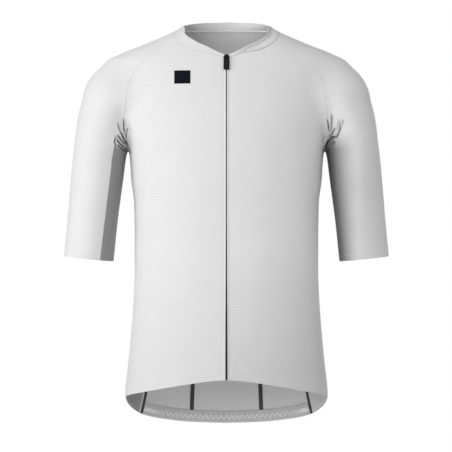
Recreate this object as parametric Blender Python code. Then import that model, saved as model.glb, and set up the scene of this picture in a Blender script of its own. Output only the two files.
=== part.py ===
"""Short-sleeved road cycling jersey with raglan sleeves, filled out as if worn.

Metres, +Z up, front facing -Y, the wearer's left at +X. The origin is the centre of the neck
opening. Every panel lies on one smooth form: rings round the body and rings round each arm,
joined softly. Each panel is a grid of points between its seams, laid on that form, and its
wall goes inward from there. Sizes are in millimetres and become metres in a mesh.
"""

from collections import namedtuple

import bpy
import numpy as np

MM = 0.001

# Cloth and layers
WALL = 1.2
SEAM_GAP = 0.32
TAPE_WALL = 0.8
BAND_WALL = 1.0
LABEL_WALL = 0.6

# Rings round the body at each height, about the axis x = y = 0
Ring = namedtuple("Ring", "height half_width front back power")
BODY_RINGS = (
    Ring(40, 66, 55, 67, 2.0),
    Ring(28, 69, 57, 70, 2.0),
    Ring(18, 73, 58, 73, 2.0),
    Ring(11, 82, 60, 76, 2.0),
    Ring(4, 93, 62, 79, 2.0),
    Ring(-7, 117, 64, 83, 2.0),
    Ring(-22, 153, 66, 88, 2.0),
    Ring(-36, 188, 70, 92, 2.0),
    Ring(-50, 207, 75, 97, 2.1),
    Ring(-75, 199, 84, 103, 2.2),
    Ring(-105, 191, 95, 109, 2.3),
    Ring(-150, 186, 107, 115, 2.3),
    Ring(-209, 175, 113, 118, 2.3),
    Ring(-263, 171, 113, 116, 2.3),
    Ring(-306, 166, 110, 111, 2.3),
    Ring(-371, 165, 106, 103, 2.3),
    Ring(-425, 165, 105, 101, 2.3),
    Ring(-479, 167, 106, 103, 2.3),
    Ring(-533, 171, 109, 108, 2.3),
    Ring(-587, 176, 112, 112, 2.3),
    Ring(-645, 182, 115, 116, 2.3),
    Ring(-740, 184, 117, 119, 2.3),
)

# Rings round an arm at each height, about its own axis at x = out
ArmRing = namedtuple("ArmRing", "height out half_width front back")
ARM_RINGS = (
    ArmRing(-20, 188, 60, 60, 60),
    ArmRing(-115, 196.5, 62, 62, 62),
    ArmRing(-150, 212, 55, 63, 63),
    ArmRing(-209, 226.5, 48, 61, 61),
    ArmRing(-263, 233, 47, 59, 59),
    ArmRing(-349, 242.2, 45, 55, 55),
    ArmRing(-430, 250.2, 44.8, 53, 53),
)
SHOULDER_CAP_HEIGHT = -115
SHOULDER_CAP_RADIUS = 64
SHOULDER_CAP_POWER = 1.5

# How softly body and arm run into each other at each height
Blend = namedtuple("Blend", "height radius")
BLENDS = (
    Blend(0, 8),
    Blend(-40, 20),
    Blend(-80, 34),
    Blend(-130, 30),
    Blend(-175, 16),
    Blend(-205, 9),
    Blend(-430, 8),
)

# Drag lines that run up from the armpit: two ends seen from the front, width and depth
Fold = namedtuple("Fold", "out_a height_a out_b height_b width depth")
FOLDS = (
    Fold(184, -173, 187, -142, 10.0, 3.2),
)
FOLD_FADE = 0.7
FOLD_FULL_AT = 25.0

# Neckline, by the angle from the front centre: its seam and the collar's top edge
Neck = namedtuple("Neck", "angle seam top")
NECKLINE = (
    Neck(0, -50.5, -45.5),
    Neck(12, -46, -39.5),
    Neck(28, -39.5, -29),
    Neck(38.4, -37, -22.5),
    Neck(46.8, -31.7, -15),
    Neck(55.9, -22.4, -6),
    Neck(64, -11, 4.5),
    Neck(72, -3, 10),
    Neck(90, 4, 15),
    Neck(120, 8, 22),
    Neck(150, 11, 27),
    Neck(180, 12, 29),
)
FRONT_NECK_ANGLE = 55.9
BACK_NECK_ANGLE = 120

# Hem height by the angle from the front centre
Hem = namedtuple("Hem", "angle height")
HEMLINE = (
    Hem(0, -613.5),
    Hem(12, -615),
    Hem(30, -620.5),
    Hem(50, -630),
    Hem(65, -639),
    Hem(80, -648),
    Hem(91.5, -655),
    Hem(97, -665),
    Hem(104, -677),
    Hem(113, -692),
    Hem(130, -705.5),
    Hem(150, -712.5),
    Hem(180, -715.5),
)

# Seams seen from the front or the back: distance from the centre, and height
Spot = namedtuple("Spot", "out height")
FRONT_RAGLAN = (Spot(140, -47), Spot(168, -85), Spot(177, -128), Spot(181, -172))
BACK_RAGLAN = (Spot(124, -24), Spot(160, -70), Spot(176, -122), Spot(181, -172))
ARM_SEAM = (
    Spot(181, -172),
    Spot(190, -181),
    Spot(197.5, -190),
    Spot(201, -204),
    Spot(202.5, -224),
    Spot(211, -299),
    Spot(224, -407),
)
# The left sleeve is turned inward a little, so its front seam lies nearer the body
LEFT_FRONT_ARM_SEAM = (
    Spot(181, -172),
    Spot(187.5, -181),
    Spot(191, -190),
    Spot(192, -204),
    Spot(192.5, -224),
    Spot(199, -299),
    Spot(211, -408.5),
)
SHOULDER_LINE = (
    Spot(93, 4),
    Spot(118, -7),
    Spot(156, -23),
    Spot(192, -38),
    Spot(222, -58),
    Spot(246, -90),
    Spot(262, -133),
    Spot(269, -172),
    Spot(275, -215),
    Spot(283, -306),
    Spot(291.5, -400),
)

# Seams between side panel and body, by height: angle from the front centre
SideSeam = namedtuple("SideSeam", "height front back")
SIDE_SEAMS = (
    SideSeam(-172, 76.5, 101),
    SideSeam(-184, 77, 103),
    SideSeam(-199, 78, 104),
    SideSeam(-216, 79.5, 105),
    SideSeam(-240, 83, 107),
    SideSeam(-262, 88, 110),
    SideSeam(-285, 90.5, 112.5),
    SideSeam(-350, 91.5, 118),
    SideSeam(-450, 92, 123),
    SideSeam(-560, 92, 121),
    SideSeam(-655, 91.5, 116.5),
    SideSeam(-700, 91.5, 112.5),
)
ARMPIT = Spot(178.6, -208)
ARM_START_HEIGHT = -225
BODY_START_HEIGHT = -213
ARMPIT_RISE = 14
ARMPIT_FALL = 4

CUFF_INNER_OUT = 204
CUFF_SLOPE = 0.113

# Grid sizes
RAGLAN_ROWS = 9
ARM_ROWS = 10
SIDE_ROWS = 20
FRONT_COLUMNS = 12
BACK_COLUMNS = 22
SLEEVE_COLUMNS = 16
SIDE_COLUMNS = 6
COLLAR_ROWS = 2
ROW_CROWDING = 0.55
SHARP_ANGLE = 0.9
STRONGEST_MITRE = 0.5
SLEEVE_CROWDING = 0.35
SECTION_CENTRE = 0.35
LEAST_ROW_STEP = 0.05

# Steps of the search for the form
SLOPE_NUDGE = 0.4
LEAST_SLOPE = 0.05
RAY_REACH = 420.0
RAY_STEP = 4.0
RAY_HALVINGS = 30

# Zip
ZIP_HALF_OPENING = 2.2
COIL_HALF_WIDTH = 1.5
COIL_DEPTH = 0.35
ZIP_TAPE_HALF_WIDTH = 12.0
ZIP_END_INSET = 0.8

# Slider and pull tab, in the zip's own frame: across, out of the cloth, along
SLIDER_WIDTH = 7.6
SLIDER_LENGTH = 9.0
SLIDER_WALL = 1.6
SLIDER_CLEARANCE = 0.4
SLIDER_BELOW_PIN = 4.5
SLIDER_TAPER = 0.8
BRIDGE_WIDTH = 2.2
BRIDGE_BAR = 0.9
BRIDGE_HALF_LENGTH = 2.5
BRIDGE_BELOW_PIN = 2.2
PIN_CLEARANCE = 0.5
PULL_WIDTH = 10.4
PULL_LENGTH = 26.0
PULL_WALL = 1.3
PULL_EYE_LENGTH = 4.6
PULL_EYE_WIDTH = 3.6
PULL_CORNER = 1.2
PULL_EYE_CORNER = 0.5
CORNER_STEPS = 3
PIVOT_HEIGHT = -49.5

# Chest label, on the wearer's right
LABEL_LEFT = -91.5
LABEL_WIDTH = 28.3
LABEL_TOP = -73.3
LABEL_HEIGHT = 23.7
LABEL_STEPS = 3

# Back pockets, hem band and the tapes inside
POCKET_TOP = -478.0
POCKET_TOP_DIP = 8.0
POCKET_INSET = 2.5
BAND_HEIGHT = 20.0
BAND_RISE = 1.5
TAPE_WIDTH = 6.5
SIDE_TAPE_WIDTH = 5.0
POCKET_TAPE_TOP = -484.0
POCKET_TAPE_GAP = 1.0
POCKET_HEM_SHARE = 0.06
POCKET_FIRST_STEP = 0.2
BAND_SIDE_GAP = 0.6
TAPE_START_ROWS = 2
TAPE_END_SHARE = 0.08
POCKET_TAPE_ANGLE_TOP = 150.0
POCKET_TAPE_ANGLE_HEM = 151.5

WHITE_KNIT = (0.80, 0.80, 0.80)
GREY_MESH = (0.42, 0.42, 0.43)
DARK_TAPE = (0.035, 0.035, 0.04)
NEAR_BLACK = (0.012, 0.012, 0.014)
LABEL_NAVY = (0.008, 0.010, 0.018)
BAND_GREY = (0.60, 0.60, 0.60)
ZIP_GREY = (0.10, 0.10, 0.11)


def curve_through(places, values, wanted):
    """Smooth curve through the given values that doesn't overshoot between them."""
    places = np.asarray(places, float)
    values = np.asarray(values, float)
    if places[0] > places[-1]:
        places = places[::-1]
        values = values[::-1]
    steps = np.diff(places)
    slopes = np.diff(values) / steps
    left = slopes[:-1]
    right = slopes[1:]
    total = steps[:-1] + steps[1:]
    with np.errstate(divide="ignore", invalid="ignore"):
        mean = 3 * total / ((total + steps[1:]) / left + (total + steps[:-1]) / right)
    inner = np.where(left * right > 0, mean, 0.0)
    tangents = np.concatenate([slopes[:1], inner, slopes[-1:]])
    wanted = np.clip(wanted, places[0], places[-1])
    index = np.clip(np.searchsorted(places, wanted) - 1, 0, len(steps) - 1)
    step = steps[index]
    share = (wanted - places[index]) / step
    rest = 1 - share
    start = (1 + 2 * share) * rest**2 * values[index] + share * rest**2 * step * tangents[index]
    end = share**2 * (3 - 2 * share) * values[index + 1]
    return start + end - share**2 * rest * step * tangents[index + 1]


def column(table, name, wanted):
    """A named column of a table, at any value of the table's first column."""
    places = [row[0] for row in table]
    values = [getattr(row, name) for row in table]
    return curve_through(places, values, wanted)


def body_radius(angle, height):
    """Distance from the body's axis to its ring, in the direction of an angle in radians."""
    width = column(BODY_RINGS, "half_width", height)
    front = column(BODY_RINGS, "front", height)
    back = column(BODY_RINGS, "back", height)
    power = column(BODY_RINGS, "power", height)
    depth = np.where(np.cos(angle) > 0, front, back)
    across = (np.abs(np.sin(angle)) / width) ** power
    along = (np.abs(np.cos(angle)) / depth) ** power
    return (across + along) ** (-1 / power)


def body_distance(points):
    """How far points are outside the body's rings, measured level."""
    out = np.hypot(points[..., 0], points[..., 1])
    angle = np.arctan2(points[..., 0], -points[..., 1])
    return out - body_radius(angle, points[..., 2])


def arm_distance(points):
    """How far points are outside the arm of their own side."""
    height = points[..., 2]
    below = np.minimum(height, SHOULDER_CAP_HEIGHT)
    across = np.abs(points[..., 0]) - column(ARM_RINGS, "out", below)
    above = np.maximum(height - SHOULDER_CAP_HEIGHT, 0.0)
    front = column(ARM_RINGS, "front", below)
    back = column(ARM_RINGS, "back", below)
    depth = np.where(points[..., 1] < 0, front, back)
    width = column(ARM_RINGS, "half_width", below)
    out = np.sqrt(across**2 + points[..., 1] ** 2 + above**2) + MM
    reach = (across / width) ** 2 + (points[..., 1] / depth) ** 2
    reach = np.sqrt(reach + (above / SHOULDER_CAP_RADIUS) ** SHOULDER_CAP_POWER) + MM / width
    return out - out / reach


def fold_depth(points):
    """How far the drag lines at the armpit push the cloth in."""
    out = np.abs(points[..., 0])
    height = points[..., 2]
    pushed = np.zeros(out.shape)
    for fold in FOLDS:
        run = np.array([fold.out_b - fold.out_a, fold.height_b - fold.height_a])
        length = np.hypot(*run)
        run = run / length
        along = (out - fold.out_a) * run[0] + (height - fold.height_a) * run[1]
        share = np.clip(along / length, 0, 1)
        off_out = out - fold.out_a - run[0] * length * share
        off_height = height - fold.height_a - run[1] * length * share
        gap = np.hypot(off_out, off_height) / fold.width
        pushed += fold.depth * (1 - FOLD_FADE * share) * np.exp(-(gap**2))
    return pushed * np.clip(np.abs(points[..., 1]) / FOLD_FULL_AT, 0, 1)


def form(points):
    """Below zero inside the jersey's form, above zero outside it."""
    body = body_distance(points)
    arm = arm_distance(points)
    radius = column(BLENDS, "radius", points[..., 2])
    share = np.clip(0.5 + 0.5 * (arm - body) / radius, 0, 1)
    joined = arm * (1 - share) + body * share - radius * share * (1 - share)
    return joined + fold_depth(points)


def slope_of_form(points):
    """Direction and steepness in which the form grows."""
    slope = np.empty(points.shape)
    for axis in range(3):
        step = np.zeros(3)
        step[axis] = SLOPE_NUDGE
        slope[..., axis] = (form(points + step) - form(points - step)) / (2 * SLOPE_NUDGE)
    return slope


def settle(points, rounds=12, longest=12.0):
    """Points moved straight onto the form."""
    points = np.array(points, float)
    for _ in range(rounds):
        slope = slope_of_form(points)
        size = (slope**2).sum(axis=-1, keepdims=True)
        move = form(points)[..., None] * slope / np.maximum(size, LEAST_SLOPE)
        length = np.linalg.norm(move, axis=-1, keepdims=True)
        points -= move * np.minimum(1, longest / np.maximum(length, MM))
    return points


def outward(points):
    """Unit normals of the form."""
    slope = slope_of_form(points)
    return slope / np.linalg.norm(slope, axis=-1, keepdims=True)


def along_rays(origins, directions):
    """Where rays from inside the form leave it."""
    far = np.zeros(directions.shape[:-1])
    found = np.zeros(directions.shape[:-1], bool)
    for distance in np.arange(RAY_STEP, RAY_REACH, RAY_STEP):
        outside = form(origins + directions * distance) > 0
        new = outside & ~found
        far = np.where(new, distance, far)
        found |= outside
    near = far - RAY_STEP
    for _ in range(RAY_HALVINGS):
        middle = (near + far) / 2
        outside = form(origins + directions * middle[..., None]) > 0
        far = np.where(outside, middle, far)
        near = np.where(outside, near, middle)
    return origins + directions * far[..., None]


def on_face(out, height, side, face):
    """The point of the form seen straight on, face -1 from the front and 1 from the back."""
    out = np.asarray(out, float)
    origins = np.stack([side * out, np.zeros(out.shape), np.asarray(height, float)], axis=-1)
    directions = np.broadcast_to(np.array([0.0, face, 0.0]), origins.shape)
    return along_rays(origins, directions)


def on_ring(angle, height):
    """The point of the body's ring at an angle in degrees from the front centre."""
    turn = np.radians(angle)
    radius = body_radius(turn, height)
    return np.stack([radius * np.sin(turn), -radius * np.cos(turn), height + 0 * turn], axis=-1)


def angle_of(points):
    return np.degrees(np.arctan2(points[..., 0], -points[..., 1]))


def spread(count, crowd_start=0.0, crowd_end=0.0):
    """Shares from 0 to 1 that come closer together near either end."""
    even = np.linspace(0, 1, count + 1)
    pace = 1 - crowd_start * (1 - even) ** 2 - crowd_end * even**2
    middle = (pace[1:] + pace[:-1]) / 2
    shares = np.concatenate([[0], np.cumsum(middle)])
    return shares / shares[-1]


def resample(points, shares):
    """Points along a line of points, at shares of its length, on a smooth curve through it."""
    points = np.asarray(points, float)
    lengths = np.linalg.norm(np.diff(points, axis=0), axis=1)
    places = np.concatenate([[0], np.cumsum(lengths)])
    wanted = np.asarray(shares) * places[-1]
    tangents = np.empty(points.shape)
    secants = np.diff(points, axis=0) / lengths[:, None]
    weights = lengths[:, None]
    tangents[1:-1] = (secants[:-1] * weights[1:] + secants[1:] * weights[:-1]) / (weights[1:] + weights[:-1])
    tangents[0] = secants[0]
    tangents[-1] = secants[-1]
    index = np.clip(np.searchsorted(places, wanted) - 1, 0, len(lengths) - 1)
    step = lengths[index][:, None]
    share = ((wanted - places[index]) / lengths[index])[:, None]
    rest = 1 - share
    start = (1 + 2 * share) * rest**2 * points[index] + share * rest**2 * step * tangents[index]
    end = share**2 * (3 - 2 * share) * points[index + 1]
    return start + end - share**2 * rest * step * tangents[index + 1]


def seam_on_face(spots, side, face, shares, start=None):
    """A seam drawn as seen straight on, laid on the form."""
    outs = [spot.out for spot in spots]
    heights = [spot.height for spot in spots]
    line = on_face(outs, heights, side, face)
    if start is not None:
        line = np.vstack([start[None], line])
    points = resample(line, shares)
    points[1:-1] = settle(points[1:-1])
    return points


def neck_point(angle, name):
    """Point of the collar's seam or of its top edge; the angle has the sign of its side."""
    height = column(NECKLINE, name, np.abs(angle))
    return on_ring(angle, height)


def seams(side):
    """Every seam of one side, as lines of points that the panels beside it share."""
    down = spread(RAGLAN_ROWS, 0.0, ROW_CROWDING)
    out = spread(ARM_ROWS, ROW_CROWDING, 0.0)
    lines = {}
    for name, face, spots, neck_angle, seam_name in (
        ("front", -1, FRONT_RAGLAN, FRONT_NECK_ANGLE, "front"),
        ("back", 1, BACK_RAGLAN, BACK_NECK_ANGLE, "back"),
    ):
        neck = neck_point(np.array(side * float(neck_angle)), "seam")
        lines[name + "_raglan"] = seam_on_face(spots, side, face, down, neck)
        turned_in = side > 0 and face < 0
        arm_spots = LEFT_FRONT_ARM_SEAM if turned_in else ARM_SEAM
        lines[name + "_arm"] = seam_on_face(arm_spots, side, face, out)
        armpit = lines[name + "_raglan"][-1]
        lines[name + "_arm"][0] = armpit
        start = SIDE_SEAMS[0].height
        end_angle = column(SIDE_SEAMS, seam_name, SIDE_SEAMS[-1].height)
        end = column(HEMLINE, "height", end_angle)
        heights = start + (end - start) * spread(SIDE_ROWS, ROW_CROWDING, 0.0)
        angles = side * column(SIDE_SEAMS, seam_name, heights)
        line = settle(on_ring(angles, heights))
        line[0] = armpit
        lines[name + "_side"] = line
    return lines


def between(edges, columns, rows):
    """Grid of (angle, height) that fills the space between four edges."""
    left, right, top, bottom = edges
    across = np.linspace(0, 1, columns + 1)[None, :, None]
    down = rows[:, None, None]
    sides = left[:, None] * (1 - across) + right[:, None] * across
    ends = top[None] * (1 - down) + bottom[None] * down
    corners = (top[0] * (1 - across) + top[-1] * across) * (1 - down)
    corners = corners + (bottom[0] * (1 - across) + bottom[-1] * across) * down
    return sides + ends - corners


def as_ring_places(points):
    return np.stack([angle_of(points), points[..., 2]], axis=-1)


def front_grid(side, lines):
    """Front panel: columns from the zip to the raglan and side seams, rows downward."""
    seam = np.vstack([lines["front_raglan"], lines["front_side"][1:]])
    right = as_ring_places(seam * [side, 1, 1])
    rows = len(seam)
    shares = np.linspace(0, 1, FRONT_COLUMNS + 1)
    top_zip = NECKLINE[0].seam
    bottom_zip = HEMLINE[0].height
    heights = top_zip + (bottom_zip - top_zip) * drop_of(right[:, 1])
    zip_radius = body_radius(np.zeros(rows), heights)
    zip_angle = np.degrees(np.arcsin(ZIP_HALF_OPENING / zip_radius))
    left = np.stack([zip_angle, heights], axis=-1)
    top_angle = left[0, 0] + (right[0, 0] - left[0, 0]) * shares
    top = np.stack([top_angle, column(NECKLINE, "seam", top_angle)], axis=-1)
    hem_angle = left[-1, 0] + (right[-1, 0] - left[-1, 0]) * shares
    bottom = np.stack([hem_angle, column(HEMLINE, "height", hem_angle)], axis=-1)
    places = between((left, right, top, bottom), FRONT_COLUMNS, drop_of(right[:, 1]))
    grid = settle(on_ring(places[..., 0], places[..., 1]))
    grid[0, :, 2] = places[0, :, 1]
    grid[:, -1] = seam * [side, 1, 1]
    return grid * [side, 1, 1]


def drop_of(heights):
    """Heights as shares of the whole drop."""
    return (heights - heights[0]) / (heights[-1] - heights[0])


def back_grid(right_lines, left_lines):
    """Back panel: columns from the wearer's left seam to the right, rows downward."""
    left_seam = np.vstack([left_lines["back_raglan"], left_lines["back_side"][1:]])
    right_seam = np.vstack([right_lines["back_raglan"], right_lines["back_side"][1:]])
    left = as_ring_places(left_seam)
    right = as_ring_places(right_seam)
    right[:, 0] += 360
    shares = np.linspace(0, 1, BACK_COLUMNS + 1)
    top_angle = left[0, 0] + (right[0, 0] - left[0, 0]) * shares
    top = np.stack([top_angle, column(NECKLINE, "seam", 180 - np.abs(180 - top_angle))], axis=-1)
    hem_angle = left[-1, 0] + (right[-1, 0] - left[-1, 0]) * shares
    bottom = np.stack([hem_angle, column(HEMLINE, "height", 180 - np.abs(180 - hem_angle))], axis=-1)
    places = between((left, right, top, bottom), BACK_COLUMNS, drop_of(left[:, 1]))
    grid = settle(on_ring(places[..., 0], places[..., 1]))
    grid[:, 0] = left_seam
    grid[:, -1] = right_seam
    return grid


def section(front, outer, back, columns):
    """Open ring through three points of the form, from the front one round to the back one."""
    middle = (front + back) / 2
    across = outer - middle
    across = across / np.linalg.norm(across)
    chord = back - front
    chord = chord - across * (chord @ across)
    chord = chord / np.linalg.norm(chord)
    centre = middle + SECTION_CENTRE * (outer - middle)
    start = np.arctan2((front - centre) @ chord, (front - centre) @ across)
    end = np.arctan2((back - centre) @ chord, (back - centre) @ across)
    turns = np.linspace(start, end, columns + 1)[:, None]
    rays = np.cos(turns) * across + np.sin(turns) * chord
    points = along_rays(np.broadcast_to(centre, rays.shape), rays)
    points[0] = front
    points[-1] = back
    return points


def sleeve_grid(side, lines):
    """Sleeve: columns from the front seam over the shoulder to the back seam, rows to the cuff."""
    front = np.vstack([lines["front_raglan"], lines["front_arm"][1:]])
    back = np.vstack([lines["back_raglan"], lines["back_arm"][1:]])
    line = np.array([[side * spot.out, 0.0, spot.height] for spot in SHOULDER_LINE])
    lengths = np.concatenate([[0], np.cumsum(np.linalg.norm(np.diff(line, axis=0), axis=1))])
    armpit_spot = [spot.height for spot in SHOULDER_LINE].index(FRONT_RAGLAN[-1].height)
    turn_share = lengths[armpit_spot] / lengths[-1]
    upper = turn_share * np.linspace(0, 1, RAGLAN_ROWS + 1)
    lower = turn_share + (1 - turn_share) * spread(ARM_ROWS, SLEEVE_CROWDING, 0.0)[1:]
    outer = settle(resample(line, np.concatenate([upper, lower])))
    angles = side * np.linspace(FRONT_NECK_ANGLE, BACK_NECK_ANGLE, SLEEVE_COLUMNS + 1)
    grid = [neck_point(angles, "seam")]
    for front_point, outer_point, back_point in zip(front[1:], outer[1:], back[1:]):
        grid.append(section(front_point, outer_point, back_point, SLEEVE_COLUMNS))
    return np.array(grid)


def side_grid(side, lines):
    """Underarm and side panel: one strip from the cuff over the armpit and down to the hem."""
    front = np.vstack([lines["front_arm"][::-1], lines["front_side"][1:]])
    back = np.vstack([lines["back_arm"][::-1], lines["back_side"][1:]])
    shares = np.linspace(0, 1, SIDE_COLUMNS + 1)[:, None]
    cuff_out = abs(front[0, 0] + back[0, 0]) / 2
    grid = []
    for row, (front_point, back_point) in enumerate(zip(front, back)):
        middle = (front_point + back_point) / 2
        if row < ARM_ROWS:
            outer = arm_inner_point(side, middle, (ARM_ROWS - row) / ARM_ROWS, cuff_out)
        elif row == ARM_ROWS:
            outer = np.array([side * ARMPIT.out, 0.0, ARMPIT.height])
        else:
            outer = body_side_point(side, middle, row - ARM_ROWS)
        bulge = outer - middle
        curve = 1 - (2 * shares - 1) ** 2
        grid.append(front_point * (1 - shares) + back_point * shares + bulge * curve)
    grid = np.array(grid)
    grid[:, 1:-1] = settle(grid[:, 1:-1])
    return grid


def arm_inner_point(side, middle, share, cuff_out):
    """Innermost point of an arm's ring; near the armpit it dips below the seams."""
    level = middle[2] + (CUFF_INNER_OUT - cuff_out) * CUFF_SLOPE
    lower = min(level, ARM_START_HEIGHT + ARMPIT_RISE * (1 - share) ** 2)
    out = column(ARM_RINGS, "out", lower) - column(ARM_RINGS, "half_width", lower)
    return np.array([side * float(out), 0.0, float(lower)])


def body_side_point(side, middle, row):
    """Outermost point of the body between the seams of the side panel."""
    lower = min(middle[2], BODY_START_HEIGHT - ARMPIT_FALL * row)
    angle = angle_of(middle * [side, 1, 1])
    return on_ring(np.array(side * angle), np.array(lower))


def across_edge(inward, along):
    """Unit vectors square to an edge, toward the inside of its panel."""
    square = inward - along * (inward * along).sum(axis=1, keepdims=True)
    return square / np.linalg.norm(square, axis=1, keepdims=True)


def pull_in(grid, edges):
    """The grid with the named edges moved in by half the gap at a seam."""
    grid = np.array(grid)
    half = SEAM_GAP / 2
    moved = grid.copy()
    for edge in edges:
        line, inner = {
            "top": (np.s_[0, :], np.s_[1, :]),
            "bottom": (np.s_[-1, :], np.s_[-2, :]),
            "left": (np.s_[:, 0], np.s_[:, 1]),
            "right": (np.s_[:, -1], np.s_[:, -2]),
        }[edge]
        points = grid[line]
        inward = grid[inner] - points
        along = np.diff(points, axis=0)
        along /= np.linalg.norm(along, axis=1, keepdims=True)
        before = across_edge(inward, np.vstack([along[:1], along]))
        after = across_edge(inward, np.vstack([along, along[-1:]]))
        both = before + after
        stretch = 1 + (before * after).sum(axis=1, keepdims=True)
        moved[line] += both / np.maximum(stretch, STRONGEST_MITRE) * half
    return moved


def make_material(name, colour, roughness, metallic=0.0):
    material = bpy.data.materials.new(name)
    material.use_nodes = True
    shader = material.node_tree.nodes["Principled BSDF"]
    shader.inputs["Base Color"].default_value = (*colour, 1.0)
    shader.inputs["Roughness"].default_value = roughness
    shader.inputs["Metallic"].default_value = metallic
    return material


def add_object(name, mesh, material, collection, parent):
    thing = bpy.data.objects.new(name, mesh)
    mesh.materials.append(material)
    mesh.shade_smooth()
    collection.objects.link(thing)
    thing.parent = parent
    return thing


def mirrored_from(columns):
    """First column whose facets mirror the ones before: the back's other half."""
    return BACK_COLUMNS // 2 if columns == BACK_COLUMNS else columns


def add_sheet(name, points, normals, material, collection, parent, wall=WALL, depth=0.0):
    """A closed wall from a grid of points: its outer face sunk by depth, its inner by wall more."""
    rows, columns = points.shape[:2]
    outer = points - normals * depth
    inner = points - normals * (depth + wall)
    corners = np.concatenate([outer.reshape(-1, 3), inner.reshape(-1, 3)])
    count = rows * columns
    place = np.arange(count).reshape(rows, columns)
    start = place[:-1, :-1].ravel()
    lower = place[1:, :-1].ravel()
    across = place[1:, 1:].ravel()
    upper = place[:-1, 1:].ravel()
    flip = np.tile(np.arange(columns - 1) >= mirrored_from(columns - 1), rows - 1)[:, None]
    first = np.where(flip, np.stack([start, lower, upper], 1), np.stack([start, lower, across], 1))
    second = np.where(flip, np.stack([upper, lower, across], 1), np.stack([start, across, upper], 1))
    face = np.concatenate([first, second])
    rim = np.concatenate([place[:-1, 0], place[-1, :-1], place[:0:-1, -1], place[0, :0:-1]])
    following = np.roll(rim, -1)
    inner_rim = rim + count
    inner_following = following + count
    left = (np.arange(len(rim)) < rows - 1)[:, None]
    mirrored = np.stack([following, rim, inner_following], 1)
    edge = np.where(left, mirrored, np.stack([following, rim, inner_rim], 1))
    mirrored = np.stack([rim, inner_rim, inner_following], 1)
    edge_rest = np.where(left, mirrored, np.stack([following, inner_rim, inner_following], 1))
    faces = np.concatenate([face, face[:, ::-1] + count, edge, edge_rest])
    middle = face[len(face) // 2]
    facing = np.cross(corners[middle[1]] - corners[middle[0]], corners[middle[2]] - corners[middle[0]])
    if facing @ normals.reshape(-1, 3)[middle[0]] < 0:
        faces = faces[:, ::-1]
    mesh = bpy.data.meshes.new(name)
    mesh.from_pydata((corners * MM).tolist(), [], faces.tolist())
    mesh.update()
    sheet = add_object(name, mesh, material, collection, parent)
    mesh.set_sharp_from_angle(angle=SHARP_ANGLE)
    return sheet


def add_panel(name, grid, edges, material, collection, parent):
    """A panel of cloth, held back from its neighbours along the named edges."""
    grid = pull_in(grid, edges)
    return add_sheet(name, grid, outward(grid), material, collection, parent)


def picked(values, rows, columns):
    """Values of a grid at places between its points, on its flat facets."""
    last_row = values.shape[0] - 2
    last_column = values.shape[1] - 2
    row = np.clip(np.floor(rows).astype(int), 0, last_row)
    place = np.clip(np.floor(columns).astype(int), 0, last_column)
    down = (rows - row)[..., None]
    across = (columns - place)[..., None]
    start = values[row, place]
    end = values[row + 1, place + 1]
    lower = values[row + 1, place]
    upper = values[row, place + 1]
    by_lower = start + down * (lower - start) + across * (end - lower)
    by_upper = start + across * (upper - start) + down * (end - upper)
    plain = np.where(down >= across, by_lower, by_upper)
    by_start = start + down * (lower - start) + across * (upper - start)
    by_end = end + (1 - down) * (upper - end) + (1 - across) * (lower - end)
    mirrored = np.where(down + across <= 1, by_start, by_end)
    return np.where((place >= mirrored_from(last_column + 1))[..., None], mirrored, plain)


def row_at_height(grid, place, height):
    """Row number, with its fraction, at which a grid's column comes down to a height."""
    line = picked(grid, np.arange(len(grid), dtype=float), np.full(len(grid), float(place)))
    return float(np.interp(-height, -line[:, 2], np.arange(len(grid))))


def whole_rows(first, last):
    """Row numbers from first to last, with every whole row between them."""
    inner = np.arange(np.floor(first) + 1, last)
    kept = inner[(inner > first + LEAST_ROW_STEP) & (inner < last - LEAST_ROW_STEP)]
    return np.concatenate([[first], kept, [last]])


def add_overlay(name, grid, rows, columns, material, collection, parent, wall, depth):
    """A thin layer that follows part of a panel, facet for facet."""
    points = picked(grid, rows, columns)
    normals = picked(outward(grid), rows, columns)
    normals /= np.linalg.norm(normals, axis=-1, keepdims=True)
    return add_sheet(name, points, normals, material, collection, parent, wall, depth)


def add_collar(material, collection, parent):
    """Band from one zip edge round the back of the neck to the other."""
    zip_angle = np.degrees(np.arcsin(ZIP_HALF_OPENING / column(BODY_RINGS, "front", NECKLINE[0].seam)))
    half_back = BACK_COLUMNS // 2
    front = np.linspace(zip_angle, FRONT_NECK_ANGLE, FRONT_COLUMNS + 1)
    shoulder = np.linspace(FRONT_NECK_ANGLE, BACK_NECK_ANGLE, SLEEVE_COLUMNS + 1)[1:]
    back = np.linspace(BACK_NECK_ANGLE, 180, half_back + 1)[1:]
    half = np.concatenate([front, shoulder, back])
    angles = np.concatenate([half, 360 - half[-2::-1]])
    folded = 180 - np.abs(180 - angles)
    top = column(NECKLINE, "top", folded)
    seam = column(NECKLINE, "seam", folded)
    shares = np.linspace(0, 1, COLLAR_ROWS + 1)[:, None]
    heights = top * (1 - shares) + seam * shares
    grid = on_ring(np.broadcast_to(angles, heights.shape), heights)
    return add_panel("collar", grid, ("bottom",), material, collection, parent)


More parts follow.
